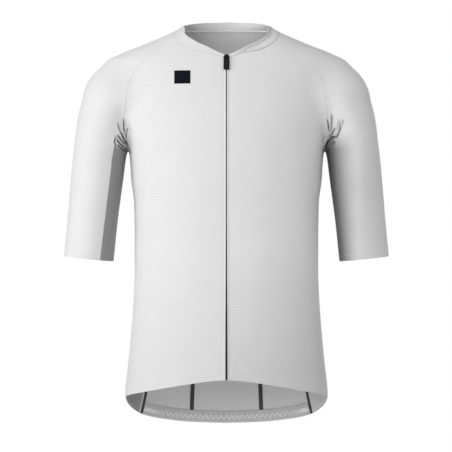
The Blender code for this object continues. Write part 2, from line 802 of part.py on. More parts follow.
def add_zip_strips(front, tape_material, coil_material, collection, parent):
    """Tape behind the front edges, and the closed coil between them."""
    rows = whole_rows(0.0, len(front) - 1.0)
    heights = picked(front, rows, np.zeros(len(rows)))[:, 2]
    collar_heights = np.linspace(NECKLINE[0].top - ZIP_END_INSET, NECKLINE[0].seam, COLLAR_ROWS + 1)
    heights = np.concatenate([collar_heights, heights[1:-1], heights[-1:] + ZIP_END_INSET])
    for name, material, half_width, wall, depth in (
        ("zip_tape", tape_material, ZIP_TAPE_HALF_WIDTH, TAPE_WALL, WALL + SEAM_GAP),
        ("zip_coil", coil_material, COIL_HALF_WIDTH, WALL - COIL_DEPTH, COIL_DEPTH),
    ):
        outs = np.array([half_width, -half_width])
        radius = column(BODY_RINGS, "front", heights)[:, None]
        angles = np.degrees(np.arcsin(outs[None] / radius))
        grid = on_ring(angles, np.broadcast_to(heights[:, None], angles.shape))
        add_sheet(name, grid, outward(grid), material, collection, parent, wall, depth)


def add_box(name, centre, size, material, collection, parent):
    bpy.ops.mesh.primitive_cube_add(size=1.0)
    box = bpy.context.object
    for owner in list(box.users_collection):
        owner.objects.unlink(box)
    collection.objects.link(box)
    box.name = name
    box.data.name = name
    for corner in box.data.vertices:
        for axis in range(3):
            corner.co[axis] = (corner.co[axis] * size[axis] + centre[axis]) * MM
    box.data.materials.append(material)
    box.parent = parent
    return box


def add_cut(box, other, operation):
    other.hide_render = True
    other.display_type = "WIRE"
    cut = box.modifiers.new(operation.title(), "BOOLEAN")
    cut.operation = operation
    cut.object = other
    cut.solver = "EXACT"


def add_slider(material, collection, cutters, frame):
    """Slider plate with a bridge over the pin of the pull tab. The frame's -Y points out."""
    plate_out = -(SLIDER_CLEARANCE + SLIDER_WALL / 2)
    plate_size = (SLIDER_WIDTH, SLIDER_WALL, SLIDER_LENGTH)
    plate_centre = (0, plate_out, SLIDER_LENGTH / 2 - SLIDER_BELOW_PIN)
    plate = add_box("zip_slider", plate_centre, plate_size, material, collection, frame)
    for corner in plate.data.vertices:
        if corner.co.z < 0:
            corner.co.x *= SLIDER_TAPER
    plate_face = -(SLIDER_CLEARANCE + SLIDER_WALL)
    window = 2 * (PULL_WALL / 2 + PIN_CLEARANCE)
    height = window + BRIDGE_BAR + SLIDER_WALL / 2
    bridge_centre = (0, plate_face - height / 2 + SLIDER_WALL / 2, BRIDGE_HALF_LENGTH - BRIDGE_BELOW_PIN)
    bridge_size = (BRIDGE_WIDTH, height, 2 * BRIDGE_HALF_LENGTH)
    bridge = add_box("bridge", bridge_centre, bridge_size, material, cutters, frame)
    window_size = (2 * BRIDGE_WIDTH, window, 2 * (BRIDGE_HALF_LENGTH - BRIDGE_BAR))
    window_centre = (0, plate_face - window / 2, bridge_centre[2])
    hole = add_box("bridge_window", window_centre, window_size, material, cutters, frame)
    add_cut(bridge, hole, "DIFFERENCE")
    add_cut(plate, bridge, "UNION")


def add_pull(material, collection, frame):
    """Flat tab with an eye; the bar above the eye is the pin it turns on."""
    outline = bpy.data.curves.new("zip_pull", "CURVE")
    outline.dimensions = "2D"
    outline.fill_mode = "BOTH"
    outline.extrude = PULL_WALL / 2 * MM
    top = PULL_WALL / 2
    for half_width, upper, lower, corner in (
        (PULL_WIDTH / 2, top, top - PULL_LENGTH, PULL_CORNER),
        (PULL_EYE_WIDTH / 2, -top, -top - PULL_EYE_LENGTH, PULL_EYE_CORNER),
    ):
        spline = outline.splines.new("POLY")
        points = []
        for across, up in ((1, upper), (1, lower), (-1, lower), (-1, upper)):
            middle_across = across * (half_width - corner)
            sign_up = 1 if up == upper else -1
            middle_up = up - sign_up * corner
            first = {(1, 1): 90, (1, -1): 0, (-1, -1): 270, (-1, 1): 180}[(across, sign_up)]
            for step in range(CORNER_STEPS + 1):
                turn = np.radians(first - 90 * step / CORNER_STEPS)
                points.append((middle_across + corner * np.cos(turn), middle_up + corner * np.sin(turn)))
        spline.points.add(len(points) - 1)
        for point, (across, up) in zip(spline.points, points):
            point.co = (across * MM, up * MM, 0.0, 1.0)
        spline.use_cyclic_u = True
    tab = bpy.data.objects.new("zip_pull", outline)
    outline.materials.append(material)
    collection.objects.link(tab)
    tab.parent = frame
    pivot_out = SLIDER_CLEARANCE + SLIDER_WALL + PULL_WALL / 2 + PIN_CLEARANCE
    tab.location = (0, -pivot_out * MM, 0)
    tab.rotation_euler = (np.pi / 2, 0, 0)
    return tab


def zip_frame(collection, parent):
    """Empty at the slider: its Z runs up the zip and its -Y points out of the cloth."""
    spot = on_ring(np.array(0.0), np.array(PIVOT_HEIGHT))
    normal = outward(spot[None])[0]
    frame = bpy.data.objects.new("slider_frame", None)
    frame.location = tuple(spot * MM)
    frame.rotation_euler = (-np.arctan2(normal[2], -normal[1]), 0, 0)
    collection.objects.link(frame)
    frame.parent = parent
    return frame


def add_label(front, material, collection, parent):
    """Rectangular label on the front panel of the wearer's right."""
    heights = LABEL_TOP - np.linspace(0, LABEL_HEIGHT, LABEL_STEPS + 1)
    outs = LABEL_LEFT + np.linspace(0, LABEL_WIDTH, LABEL_STEPS + 1)
    across, up = np.meshgrid(-outs, heights)
    grid = on_face(across, up, -1, -1)
    normals = outward(grid)
    add_sheet("chest_label", grid, normals, material, collection, parent, LABEL_WALL, -LABEL_WALL - SEAM_GAP)


def column_of_angle(grid, row, angle):
    """Column number, with its fraction, at which a row of the back panel meets an angle."""
    line = picked(grid, np.full(grid.shape[1], float(row)), np.arange(grid.shape[1], dtype=float))
    angles = np.degrees(np.arctan2(line[:, 0], -line[:, 1])) % 360
    return float(np.interp(angle, angles, np.arange(grid.shape[1])))


def column_step(grid, row, place):
    """Width of a grid's column beside one of its edges."""
    row = np.array([float(row)])
    here = picked(grid, row, np.array([float(place)]))
    beside = picked(grid, row, np.array([float(abs(place - 1))]))
    return float(np.linalg.norm(here - beside))


def add_pockets(back, material, collection, parent):
    """One outer layer on the lower back, open along its top edge."""
    last = back.shape[1] - 1.0
    places = np.arange(last + 1)
    rows = []
    middle = last / 2
    for place in places:
        dip = POCKET_TOP_DIP * (1 - (place / middle - 1) ** 2)
        rows.append(row_at_height(back, place, POCKET_TOP - dip))
    whole = np.arange(np.ceil(max(rows) + POCKET_FIRST_STEP), len(back) - 1.0)
    bottom = len(back) - 1 - POCKET_HEM_SHARE
    grid_rows = [np.array(rows)]
    grid_rows += [np.full(len(places), row) for row in whole]
    grid_rows.append(np.full(len(places), bottom))
    grid_rows = np.array(grid_rows)
    columns = np.empty(grid_rows.shape)
    for index, line in enumerate(grid_rows):
        inset = POCKET_INSET / column_step(back, line[0], 0)
        columns[index] = np.clip(places, inset, last - inset)
    add_overlay("pockets", back, grid_rows, columns, material, collection, parent, WALL, -WALL - SEAM_GAP)


def add_hem_band(back, material, collection, parent):
    """Elastic band inside the back hem, between the side tapes."""
    last = back.shape[1] - 1.0
    places = np.arange(0.0, last + 1)
    step = column_step(back, len(back) - 1, 0)
    inset = (SIDE_TAPE_WIDTH / 2 + BAND_SIDE_GAP) / step
    places = np.clip(places, inset, last - inset)
    rows = []
    for rise in (BAND_RISE + BAND_HEIGHT, BAND_RISE):
        line = []
        for place in places:
            hem = picked(back, np.array([len(back) - 1.0]), np.array([place]))[0, 2]
            line.append(row_at_height(back, place, hem + rise))
        rows.append(line)
    rows = np.array(rows)
    columns = np.broadcast_to(places, rows.shape)
    add_overlay("hem_gripper", back, rows, columns, material, collection, parent, BAND_WALL, WALL + SEAM_GAP)


def add_pocket_tape(name, back, mirrored, material, collection, parent):
    """Tape inside the back where the pocket layer is stitched down between two pockets."""
    middle = (back.shape[1] - 1) / 2
    guide = column_of_angle(back, len(back) - 1, POCKET_TAPE_ANGLE_HEM)
    first = row_at_height(back, guide, POCKET_TAPE_TOP)
    hem = picked(back, np.array([len(back) - 1.0]), np.array([guide]))[0, 2]
    last = row_at_height(back, guide, hem + BAND_RISE + BAND_HEIGHT + POCKET_TAPE_GAP)
    rows = whole_rows(first, last)
    grid_rows = []
    columns = []
    for row in rows:
        share = (row - first) / (last - first)
        angle = POCKET_TAPE_ANGLE_TOP * (1 - share) + POCKET_TAPE_ANGLE_HEM * share
        place = column_of_angle(back, row, angle)
        half = TAPE_WIDTH / 2 / column_step(back, row, np.ceil(place))
        pair = np.array([place - half, place + half])
        if mirrored:
            pair = 2 * middle - pair
        columns.append(pair)
        grid_rows.append([row, row])
    rows = np.array(grid_rows)
    columns = np.array(columns)
    add_overlay(name, back, rows, columns, material, collection, parent, TAPE_WALL, WALL + SEAM_GAP)


def add_side_tape(name, back, strip, edge, material, collection, parent):
    """Tape inside, over the seam between the back and a side panel."""
    first = RAGLAN_ROWS + TAPE_START_ROWS
    rows = np.arange(first, len(back) - 1.0)
    rows = np.append(rows, len(back) - 1 - TAPE_END_SHARE)
    back_normals = outward(back)
    strip_normals = outward(strip)
    points = []
    normals = []
    for row in rows:
        strip_row = row - RAGLAN_ROWS + ARM_ROWS
        strip_edge = strip.shape[1] - 1
        back_share = SIDE_TAPE_WIDTH / 2 / column_step(back, row, 0)
        strip_share = SIDE_TAPE_WIDTH / 2 / column_step(strip, strip_row, strip_edge)
        back_place = abs(edge - back_share)
        here = np.array([float(row)])
        there = np.array([float(strip_row)])
        for values, kept in (((back, strip), points), ((back_normals, strip_normals), normals)):
            on_back = picked(values[0], here, np.array([back_place]))[0]
            at_seam = picked(values[0], here, np.array([float(edge)]))[0]
            on_strip = picked(values[1], there, np.array([strip_edge - strip_share]))[0]
            kept.append([on_back, at_seam, on_strip])
    points = np.array(points)
    normals = np.array(normals)
    add_sheet(name, points, normals, material, collection, parent, TAPE_WALL, WALL + SEAM_GAP)


def main():
    for thing in list(bpy.data.objects):
        bpy.data.objects.remove(thing, do_unlink=True)
    collection = bpy.data.collections.new("cycling_jersey")
    cutters = bpy.data.collections.new("cutters")
    bpy.context.scene.collection.children.link(collection)
    bpy.context.scene.collection.children.link(cutters)
    jersey = bpy.data.objects.new("jersey_frame", None)
    collection.objects.link(jersey)

    knit = make_material("white_knit", WHITE_KNIT, 0.85)
    mesh_cloth = make_material("grey_mesh", GREY_MESH, 0.85)
    tape = make_material("dark_tape", DARK_TAPE, 0.8)
    band = make_material("elastic_band", BAND_GREY, 0.7)
    zip_cloth = make_material("zip_tape_weave", ZIP_GREY, 0.8)
    coil = make_material("zip_coil_plastic", NEAR_BLACK, 0.4)
    slider = make_material("slider_black", NEAR_BLACK, 0.35)
    pull = make_material("pull_rubber", NEAR_BLACK, 0.55)
    label = make_material("label_film", LABEL_NAVY, 0.45)

    right_lines = seams(-1)
    left_lines = seams(1)
    front = front_grid(-1, right_lines)
    back = back_grid(right_lines, left_lines)
    right_strip = side_grid(-1, right_lines)
    left_strip = side_grid(1, left_lines)
    add_panel("front_right", front, ("top", "right"), knit, collection, jersey)
    add_panel("front_left", front_grid(1, left_lines), ("top", "right"), knit, collection, jersey)
    add_panel("back", back, ("top", "left", "right"), knit, collection, jersey)
    for name, side, lines, strip in (
        ("right", -1, right_lines, right_strip),
        ("left", 1, left_lines, left_strip),
    ):
        sleeve = sleeve_grid(side, lines)
        add_panel("sleeve_" + name, sleeve, ("top", "left", "right"), knit, collection, jersey)
        add_panel("side_" + name, strip, ("left", "right"), mesh_cloth, collection, jersey)
    add_collar(knit, collection, jersey)
    add_pockets(back, knit, collection, jersey)
    add_hem_band(back, band, collection, jersey)
    add_pocket_tape("pocket_tape_left", back, False, tape, collection, jersey)
    add_pocket_tape("pocket_tape_right", back, True, tape, collection, jersey)
    add_side_tape("side_tape_left", back, left_strip, 0, tape, collection, jersey)
    add_side_tape("side_tape_right", back, right_strip, BACK_COLUMNS, tape, collection, jersey)
    add_zip_strips(front, zip_cloth, coil, collection, jersey)
    add_label(front, label, collection, jersey)
    frame = zip_frame(collection, jersey)
    add_slider(slider, collection, cutters, frame)
    add_pull(pull, collection, frame)


main()
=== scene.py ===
import math
from collections import namedtuple

import bpy
import numpy as np
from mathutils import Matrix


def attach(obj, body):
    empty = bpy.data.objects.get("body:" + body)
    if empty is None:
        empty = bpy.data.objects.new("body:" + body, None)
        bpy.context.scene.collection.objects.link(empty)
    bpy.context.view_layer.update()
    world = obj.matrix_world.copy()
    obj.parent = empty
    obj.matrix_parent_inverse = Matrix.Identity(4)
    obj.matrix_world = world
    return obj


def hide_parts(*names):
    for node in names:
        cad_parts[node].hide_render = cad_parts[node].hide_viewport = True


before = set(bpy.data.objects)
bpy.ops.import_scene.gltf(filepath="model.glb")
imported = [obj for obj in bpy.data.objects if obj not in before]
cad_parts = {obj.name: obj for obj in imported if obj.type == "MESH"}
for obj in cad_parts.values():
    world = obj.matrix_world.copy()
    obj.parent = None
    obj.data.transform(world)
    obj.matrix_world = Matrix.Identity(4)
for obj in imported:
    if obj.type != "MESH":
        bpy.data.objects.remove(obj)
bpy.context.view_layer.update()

# Short-sleeved raglan cycling jersey, worn shape with nobody in it.
# Metres in Blender, millimetres in the tables. +Z up, front at -Y, the wearer's left at +X.
mm = 0.001
sideNames = {-1: "right", 1: "left"}


def tableOf(kind, *rows):
    return [kind(*row) for row in rows]


# The form that every panel lies on: rings round the body and round each arm
Ring = namedtuple("Ring", "height halfWidth front back power")
bodyRings = tableOf(Ring,
    (40, 66, 55, 67, 2.0), (28, 69, 57, 70, 2.0), (18, 73, 58, 73, 2.0), (11, 82, 60, 76, 2.0),
    (4, 93, 62, 79, 2.0), (-7, 117, 64, 83, 2.0), (-22, 153, 66, 88, 2.0), (-36, 188, 70, 92, 2.0),
    (-50, 207, 75, 97, 2.1), (-75, 199, 84, 103, 2.2), (-105, 191, 95, 109, 2.3),
    (-150, 186, 107, 115, 2.3), (-209, 175, 113, 118, 2.3), (-263, 171, 113, 116, 2.3),
    (-306, 166, 110, 111, 2.3), (-371, 165, 106, 103, 2.3), (-425, 165, 105, 101, 2.3),
    (-479, 167, 106, 103, 2.3), (-533, 171, 109, 108, 2.3), (-587, 176, 112, 112, 2.3),
    (-645, 182, 115, 116, 2.3), (-740, 184, 117, 119, 2.3),
)
ArmRing = namedtuple("ArmRing", "height out halfWidth front back")
armRings = tableOf(ArmRing,
    (-20, 188, 60, 60, 60), (-115, 196.5, 62, 62, 62), (-150, 212, 55, 63, 63), (-209, 226.5, 48, 61, 61),
    (-263, 233, 47, 59, 59), (-349, 242.2, 45, 55, 55), (-430, 250.2, 44.8, 53, 53),
)
shoulderCap = {"height": -115, "radius": 64, "power": 1.5}
Blend = namedtuple("Blend", "height radius")
blends = tableOf(Blend,
    (0, 8), (-40, 20), (-80, 34), (-130, 30), (-175, 16), (-205, 9), (-430, 8),
)
armpitDip = {"outA": 184, "heightA": -173, "outB": 187, "heightB": -142, "width": 10.0, "depth": 3.2,
             "fade": 0.7, "fullAt": 25.0}

# Neckline by the angle from the front centre, and the hem by the same angle
Neck = namedtuple("Neck", "angle seam top")
neckline = tableOf(Neck,
    (0, -50.5, -45.5), (12, -46, -39.5), (28, -39.5, -29), (38.4, -37, -22.5), (46.8, -31.7, -15),
    (55.9, -22.4, -6), (64, -11, 4.5), (72, -3, 10), (90, 4, 15), (120, 8, 22), (150, 11, 27),
    (180, 12, 29),
)
Hem = namedtuple("Hem", "angle height")
hemline = tableOf(Hem,
    (0, -613.5), (12, -615), (30, -620.5), (50, -630), (65, -639), (80, -648), (91.5, -655), (97, -665),
    (104, -677), (113, -692), (130, -705.5), (150, -712.5), (180, -715.5),
)
frontNeckAngle = 55.9
backNeckAngle = 120

# Seams seen from the front or the back: distance from the centre, and height
Spot = namedtuple("Spot", "out height")
frontRaglan = (Spot(140, -47), Spot(168, -85), Spot(177, -128), Spot(181, -172))
backRaglan = (Spot(124, -24), Spot(160, -70), Spot(176, -122), Spot(181, -172))
armSeam = tableOf(Spot,
    (181, -172), (190, -181), (197.5, -190), (201, -204), (202.5, -224), (211, -299), (224, -407),
)
leftFrontArmSeam = tableOf(Spot,  # the left sleeve is turned inward a little
    (181, -172), (187.5, -181), (191, -190), (192, -204), (192.5, -224), (199, -299), (211, -408.5),
)
shoulderLine = tableOf(Spot,
    (93, 4), (118, -7), (156, -23), (192, -38), (222, -58), (246, -90), (262, -133), (269, -172),
    (275, -215), (283, -306), (291.5, -400),
)
SideSeam = namedtuple("SideSeam", "height front back")
sideSeams = tableOf(SideSeam,
    (-172, 76.5, 101), (-184, 77, 103), (-199, 78, 104), (-216, 79.5, 105), (-240, 83, 107),
    (-262, 88, 110), (-285, 90.5, 112.5), (-350, 91.5, 118), (-450, 92, 123), (-560, 92, 121),
    (-655, 91.5, 116.5), (-700, 91.5, 112.5),
)
underarm = {"out": 178.6, "height": -208, "armStart": -225, "bodyStart": -213, "rise": 14, "fall": 80,
            "risePower": 4, "fallPower": 0.62}
cuff = {"innerOut": 204, "slope": 0.113}

# How finely the cloth is meshed, and how its points crowd toward the armpit
mesh = {"raglanRows": 92, "armRows": 104, "sideRows": 128, "frontColumns": 116, "backColumns": 168,
        "sleeveColumns": 146, "sideColumns": 94, "collarRows": 10, "collarColumns": 260, "outerShare": 0.6,
        "sectionCentre": 0.35, "sharpAngle": 0.9, "plateSharpAngle": 0.7, "frontRounds": 5, "backRounds": 7,
        "ringRounds": 4, "stripRounds": 9, "lastRounds": 3}
# Spacing of the points along each line, as (share of the line, relative step)
spacing = {
    "raglan": ((0, 1.2), (0.04, 1.6), (0.12, 4.4), (0.66, 4.4), (0.8, 0.65), (1, 0.5)),
    "arm": ((0, 0.5), (0.14, 0.6), (0.3, 5.0), (0.92, 5.0), (0.95, 1.3), (1, 1.1)),
    "side": ((0, 0.5), (0.07, 0.6), (0.17, 6.5), (0.95, 6.5), (0.972, 1.4), (1, 1.1)),
    "front": ((0, 0.4), (0.035, 0.5), (0.1, 3.8), (0.8, 3.8), (0.92, 0.7), (1, 0.45)),
    "back": ((0, 0.5), (0.06, 0.8), (0.14, 3.4), (0.86, 3.4), (0.94, 0.8), (1, 0.5)),
    "sleeve": ((0, 0.45), (0.07, 0.7), (0.15, 4.6), (0.85, 4.6), (0.94, 0.8), (1, 0.5)),
    "strip": ((0, 0.5), (0.3, 0.75), (0.5, 2.2), (0.82, 2.2), (1, 0.7)),
}
seamGap = 0.14
clothWall = 1.0


def coordsOf(points):
    return points[..., 0], points[..., 1], points[..., 2]


def ramp(values, start, end):
    return np.clip((values - start) / (end - start), 0, 1)


def bell(values, middle, width):
    return np.exp(-(((values - middle) / width) ** 2))


def smooth(share):
    return share * share * (3 - 2 * share)


def stepsAlong(points):
    return np.linalg.norm(np.diff(points, axis=0), axis=1)


def lengthsAlong(points):
    return np.concatenate([[0], np.cumsum(stepsAlong(points))])


def hermite(share, step, first, last, slopeIn, slopeOut):
    rest = 1 - share
    start = (1 + 2 * share) * rest**2 * first + share * rest**2 * step * slopeIn
    return start + smooth(share) * last - share**2 * rest * step * slopeOut


def curveThrough(places, values, wanted):
    # a curve through the values that never overshoots them
    order = 1 if places[0] < places[-1] else -1
    places = np.asarray(places, float)[::order]
    values = np.asarray(values, float)[::order]
    steps = np.diff(places)
    slopes = np.diff(values) / steps
    left, right = slopes[:-1], slopes[1:]
    total = steps[:-1] + steps[1:]
    with np.errstate(divide="ignore", invalid="ignore"):
        mean = 3 * total / ((total + steps[1:]) / left + (total + steps[:-1]) / right)
    tangents = np.concatenate([slopes[:1], np.where(left * right > 0, mean, 0.0), slopes[-1:]])
    wanted = np.clip(wanted, places[0], places[-1])
    index = np.clip(np.searchsorted(places, wanted) - 1, 0, len(steps) - 1)
    after = index + 1
    share = (wanted - places[index]) / steps[index]
    return hermite(share, steps[index], values[index], values[after], tangents[index], tangents[after])


def column(table, name, wanted):
    return curveThrough([row[0] for row in table], [getattr(row, name) for row in table], wanted)


def bodyRadius(angle, height):
    width = column(bodyRings, "halfWidth", height)
    power = column(bodyRings, "power", height)
    depth = np.where(np.cos(angle) > 0, column(bodyRings, "front", height), column(bodyRings, "back", height))
    across = (np.abs(np.sin(angle)) / width) ** power
    return (across + (np.abs(np.cos(angle)) / depth) ** power) ** (-1 / power)


def bodyDistance(points):
    x, y, z = coordsOf(points)
    return np.hypot(x, y) - bodyRadius(np.arctan2(x, -y), z)


def armDistance(points):
    x, y, z = coordsOf(points)
    below = np.minimum(z, shoulderCap["height"])
    above = np.maximum(z - shoulderCap["height"], 0.0)
    across = np.abs(x) - column(armRings, "out", below)
    depth = np.where(y < 0, column(armRings, "front", below), column(armRings, "back", below))
    width = column(armRings, "halfWidth", below)
    out = np.sqrt(across**2 + y**2 + above**2) + mm
    reach = (across / width) ** 2 + (y / depth) ** 2 + (above / shoulderCap["radius"]) ** shoulderCap["power"]
    return out - out / (np.sqrt(reach) + mm / width)


def armpitDepth(points):
    # the soft drag line that runs up from each armpit
    x, y, z = coordsOf(points)
    dip = armpitDip
    run = np.array([dip["outB"] - dip["outA"], dip["heightB"] - dip["heightA"]])
    length = np.hypot(*run)
    run = run / length
    out = np.abs(x) - dip["outA"]
    up = z - dip["heightA"]
    share = np.clip((out * run[0] + up * run[1]) / length, 0, 1)
    gap = np.hypot(out - run[0] * length * share, up - run[1] * length * share)
    pushed = dip["depth"] * (1 - dip["fade"] * share) * bell(gap, 0, dip["width"])
    return pushed * ramp(np.abs(y), 0, dip["fullAt"])


def form(points):
    # below zero inside the jersey's form, above zero outside it
    body = bodyDistance(points)
    arm = armDistance(points)
    radius = column(blends, "radius", points[..., 2])
    share = np.clip(0.5 + 0.5 * (arm - body) / radius, 0, 1)
    return arm * (1 - share) + body * share - radius * share * (1 - share) + armpitDepth(points)


def slopeOfForm(points):
    nudge = 0.4
    slope = np.empty(points.shape)
    for axis in range(3):
        step = np.zeros(3)
        step[axis] = nudge
        slope[..., axis] = (form(points + step) - form(points - step)) / (2 * nudge)
    return slope


def settle(points, rounds=7, longest=12.0):
    points = np.array(points, float)
    for _ in range(rounds):
        slope = slopeOfForm(points)
        size = (slope**2).sum(axis=-1, keepdims=True)
        move = form(points)[..., None] * slope / np.maximum(size, 0.05)
        length = np.linalg.norm(move, axis=-1, keepdims=True)
        points -= move * np.minimum(1, longest / np.maximum(length, mm))
    return points


def unit(vectors):
    return vectors / np.maximum(np.linalg.norm(vectors, axis=-1, keepdims=True), 1e-12)


def outward(points):
    return unit(slopeOfForm(points))


def alongRays(origins, directions, reach=420.0, step=4.0, halvings=26):
    far = np.zeros(directions.shape[:-1])
    found = np.zeros(directions.shape[:-1], bool)
    for distance in np.arange(step, reach, step):
        new = (form(origins + directions * distance) > 0) & ~found
        far = np.where(new, distance, far)
        found |= new
    near = far - step
    for _ in range(halvings):
        middle = (near + far) / 2
        outside = form(origins + directions * middle[..., None]) > 0
        far = np.where(outside, middle, far)
        near = np.where(outside, near, middle)
    return origins + directions * far[..., None]


def onFace(out, height, side, face):
    # the form seen straight on: face -1 from the front, 1 from the back
    out = np.asarray(out, float)
    origins = np.stack([side * out, np.zeros(out.shape), np.asarray(height, float)], axis=-1)
    return alongRays(origins, np.broadcast_to(np.array([0.0, face, 0.0]), origins.shape))


def onRing(angle, height):
    turn = np.radians(angle)
    radius = bodyRadius(turn, height)
    return np.stack([radius * np.sin(turn), -radius * np.cos(turn), height + 0 * turn], axis=-1)


def angleOf(points):
    return np.degrees(np.arctan2(points[..., 0], -points[..., 1]))


def paced(count, name):
    # shares of a line with points close together where the table says so
    shares = np.linspace(0, 1, 2001)
    dense = 1 / np.interp(shares, [row[0] for row in spacing[name]], [row[1] for row in spacing[name]])
    counts = np.concatenate([[0], np.cumsum((dense[1:] + dense[:-1]) / 2)])
    return np.interp(np.linspace(0, 1, count + 1), counts / counts[-1], shares)


def resample(points, shares):
    # a smooth line through the points, at shares of its length
    points = np.asarray(points, float)
    places = lengthsAlong(points)
    wanted = np.asarray(shares) * places[-1]
    weights = stepsAlong(points)[:, None]
    secants = np.diff(points, axis=0) / weights
    inner = (secants[:-1] * weights[1:] + secants[1:] * weights[:-1]) / (weights[1:] + weights[:-1])
    tangents = np.concatenate([secants[:1], inner, secants[-1:]])
    index = np.clip(np.searchsorted(places, wanted) - 1, 0, len(weights) - 1)
    after = index + 1
    share = (wanted - places[index])[:, None] / weights[index]
    return hermite(share, weights[index], points[index], points[after], tangents[index], tangents[after])


def neckPoint(angle, name):
    return onRing(angle, column(neckline, name, np.abs(angle)))


# Seams and panels
def seamOnFace(spots, side, face, shares, start=None):
    line = onFace([spot.out for spot in spots], [spot.height for spot in spots], side, face)
    if start is not None:
        line = np.vstack([start[None], line])
    points = resample(line, shares)
    points[1:-1] = settle(points[1:-1])
    return points


def seamLines(side):
    down = paced(mesh["raglanRows"], "raglan")
    out = paced(mesh["armRows"], "arm")
    sideShares = paced(mesh["sideRows"], "side")
    lines = {}
    for name, face, spots, neckAngle in (("front", -1, frontRaglan, frontNeckAngle),
                                         ("back", 1, backRaglan, backNeckAngle)):
        neck = neckPoint(np.array(side * float(neckAngle)), "seam")
        lines[name + "Raglan"] = seamOnFace(spots, side, face, down, neck)
        armSpots = leftFrontArmSeam if side > 0 and face < 0 else armSeam
        lines[name + "Arm"] = seamOnFace(armSpots, side, face, out)
        armpit = lines[name + "Raglan"][-1]
        lines[name + "Arm"][0] = armpit
        start = sideSeams[0].height
        endAngle = column(sideSeams, name, sideSeams[-1].height)
        end = column(hemline, "height", endAngle)
        heights = start + (end - start) * sideShares
        line = settle(onRing(side * column(sideSeams, name, heights), heights))
        line[0] = armpit
        line[1:-1] = settle(resample(line, sideShares)[1:-1], 4)
        lines[name + "Side"] = line
    return lines


def between(left, right, top, bottom, across, down):
    # four edges filled in with a grid of points
    across = across[None, :, None]
    down = down[:, None, None]
    sides = left[:, None] * (1 - across) + right[:, None] * across
    ends = top[None] * (1 - down) + bottom[None] * down
    corners = (top[0] * (1 - across) + top[-1] * across) * (1 - down)
    return sides + ends - corners - (bottom[0] * (1 - across) + bottom[-1] * across) * down


def ringPlaces(points):
    return np.stack([angleOf(points), points[..., 2]], axis=-1)


def dropOf(heights):
    return (heights - heights[0]) / (heights[-1] - heights[0])


def evenRows(grid, shares):
    # the points of each row spaced out along it again, then laid back on the form
    for row in range(1, len(grid)):
        grid[row, 1:-1] = resample(grid[row], shares)[1:-1]
    grid[1:, 1:-1] = settle(grid[1:, 1:-1], mesh["ringRounds"])
    return grid


def ringGrid(left, right, shares, down, rounds):
    # rings between two edges, each given as (angle, height), from the neckline to the hem
    ends = []
    for row, table, name in ((0, neckline, "seam"), (-1, hemline, "height")):
        angle = left[row, 0] + (right[row, 0] - left[row, 0]) * shares
        ends.append(np.stack([angle, column(table, name, 180 - np.abs(180 - angle))], axis=-1))
    places = between(left, right, *ends, shares, down)
    return settle(onRing(places[..., 0], places[..., 1]), rounds), places


def frontGrid(side, lines):
    seam = np.vstack([lines["frontRaglan"], lines["frontSide"][1:]]) * [side, 1, 1]
    right = ringPlaces(seam)
    shares = paced(mesh["frontColumns"], "front")
    down = dropOf(right[:, 1])
    heights = neckline[0].seam + (hemline[0].height - neckline[0].seam) * down
    opening = column(zipOpening, "half", heights)
    zipAngle = np.degrees(np.arcsin(opening / bodyRadius(np.zeros(len(seam)), heights)))
    grid, places = ringGrid(np.stack([zipAngle, heights], axis=-1), right, shares, down,
                           mesh["frontRounds"])
    grid[0, :, 2] = places[0, :, 1]
    grid[:, -1] = seam
    return evenRows(grid, shares) * [side, 1, 1]


def backGrid(rightLines, leftLines):
    leftSeam = np.vstack([leftLines["backRaglan"], leftLines["backSide"][1:]])
    rightSeam = np.vstack([rightLines["backRaglan"], rightLines["backSide"][1:]])
    left = ringPlaces(leftSeam)
    shares = paced(mesh["backColumns"], "back")
    grid = ringGrid(left, ringPlaces(rightSeam) + [360, 0], shares, dropOf(left[:, 1]),
                    mesh["backRounds"])[0]
    grid[:, 0] = leftSeam
    grid[:, -1] = rightSeam
    return evenRows(grid, shares)


def sleeveGrid(side, lines):
    front = np.vstack([lines["frontRaglan"], lines["frontArm"][1:]])[1:]
    back = np.vstack([lines["backRaglan"], lines["backArm"][1:]])[1:]
    line = np.array([[side * spot.out, 0.0, spot.height] for spot in shoulderLine])
    lengths = lengthsAlong(line)
    turnShare = lengths[[spot.height for spot in shoulderLine].index(frontRaglan[-1].height)] / lengths[-1]
    keep = mesh["outerShare"]
    upper, lower = (keep * paced(mesh[rows], name) + (1 - keep) * np.linspace(0, 1, mesh[rows] + 1)
                    for rows, name in (("raglanRows", "raglan"), ("armRows", "arm")))
    shares = np.concatenate([turnShare * upper, turnShare + (1 - turnShare) * lower[1:]])
    outer = settle(resample(line, shares))[1:]
    middle = (front + back) / 2
    across = unit(outer - middle)
    chord = back - front
    chord = unit(chord - across * (chord * across).sum(axis=1, keepdims=True))
    centre = middle + mesh["sectionCentre"] * (outer - middle)
    start = np.arctan2(((front - centre) * chord).sum(axis=1), ((front - centre) * across).sum(axis=1))
    end = np.arctan2(((back - centre) * chord).sum(axis=1), ((back - centre) * across).sum(axis=1))
    shares = paced(mesh["sleeveColumns"], "sleeve")
    turns = (start[:, None] + (end - start)[:, None] * shares)[..., None]
    rays = np.cos(turns) * across[:, None] + np.sin(turns) * chord[:, None]
    grid = alongRays(np.broadcast_to(centre[:, None], rays.shape), rays)
    grid[:, 0] = front
    grid[:, -1] = back
    angles = side * (frontNeckAngle + (backNeckAngle - frontNeckAngle) * shares)
    return np.concatenate([neckPoint(angles, "seam")[None], grid])


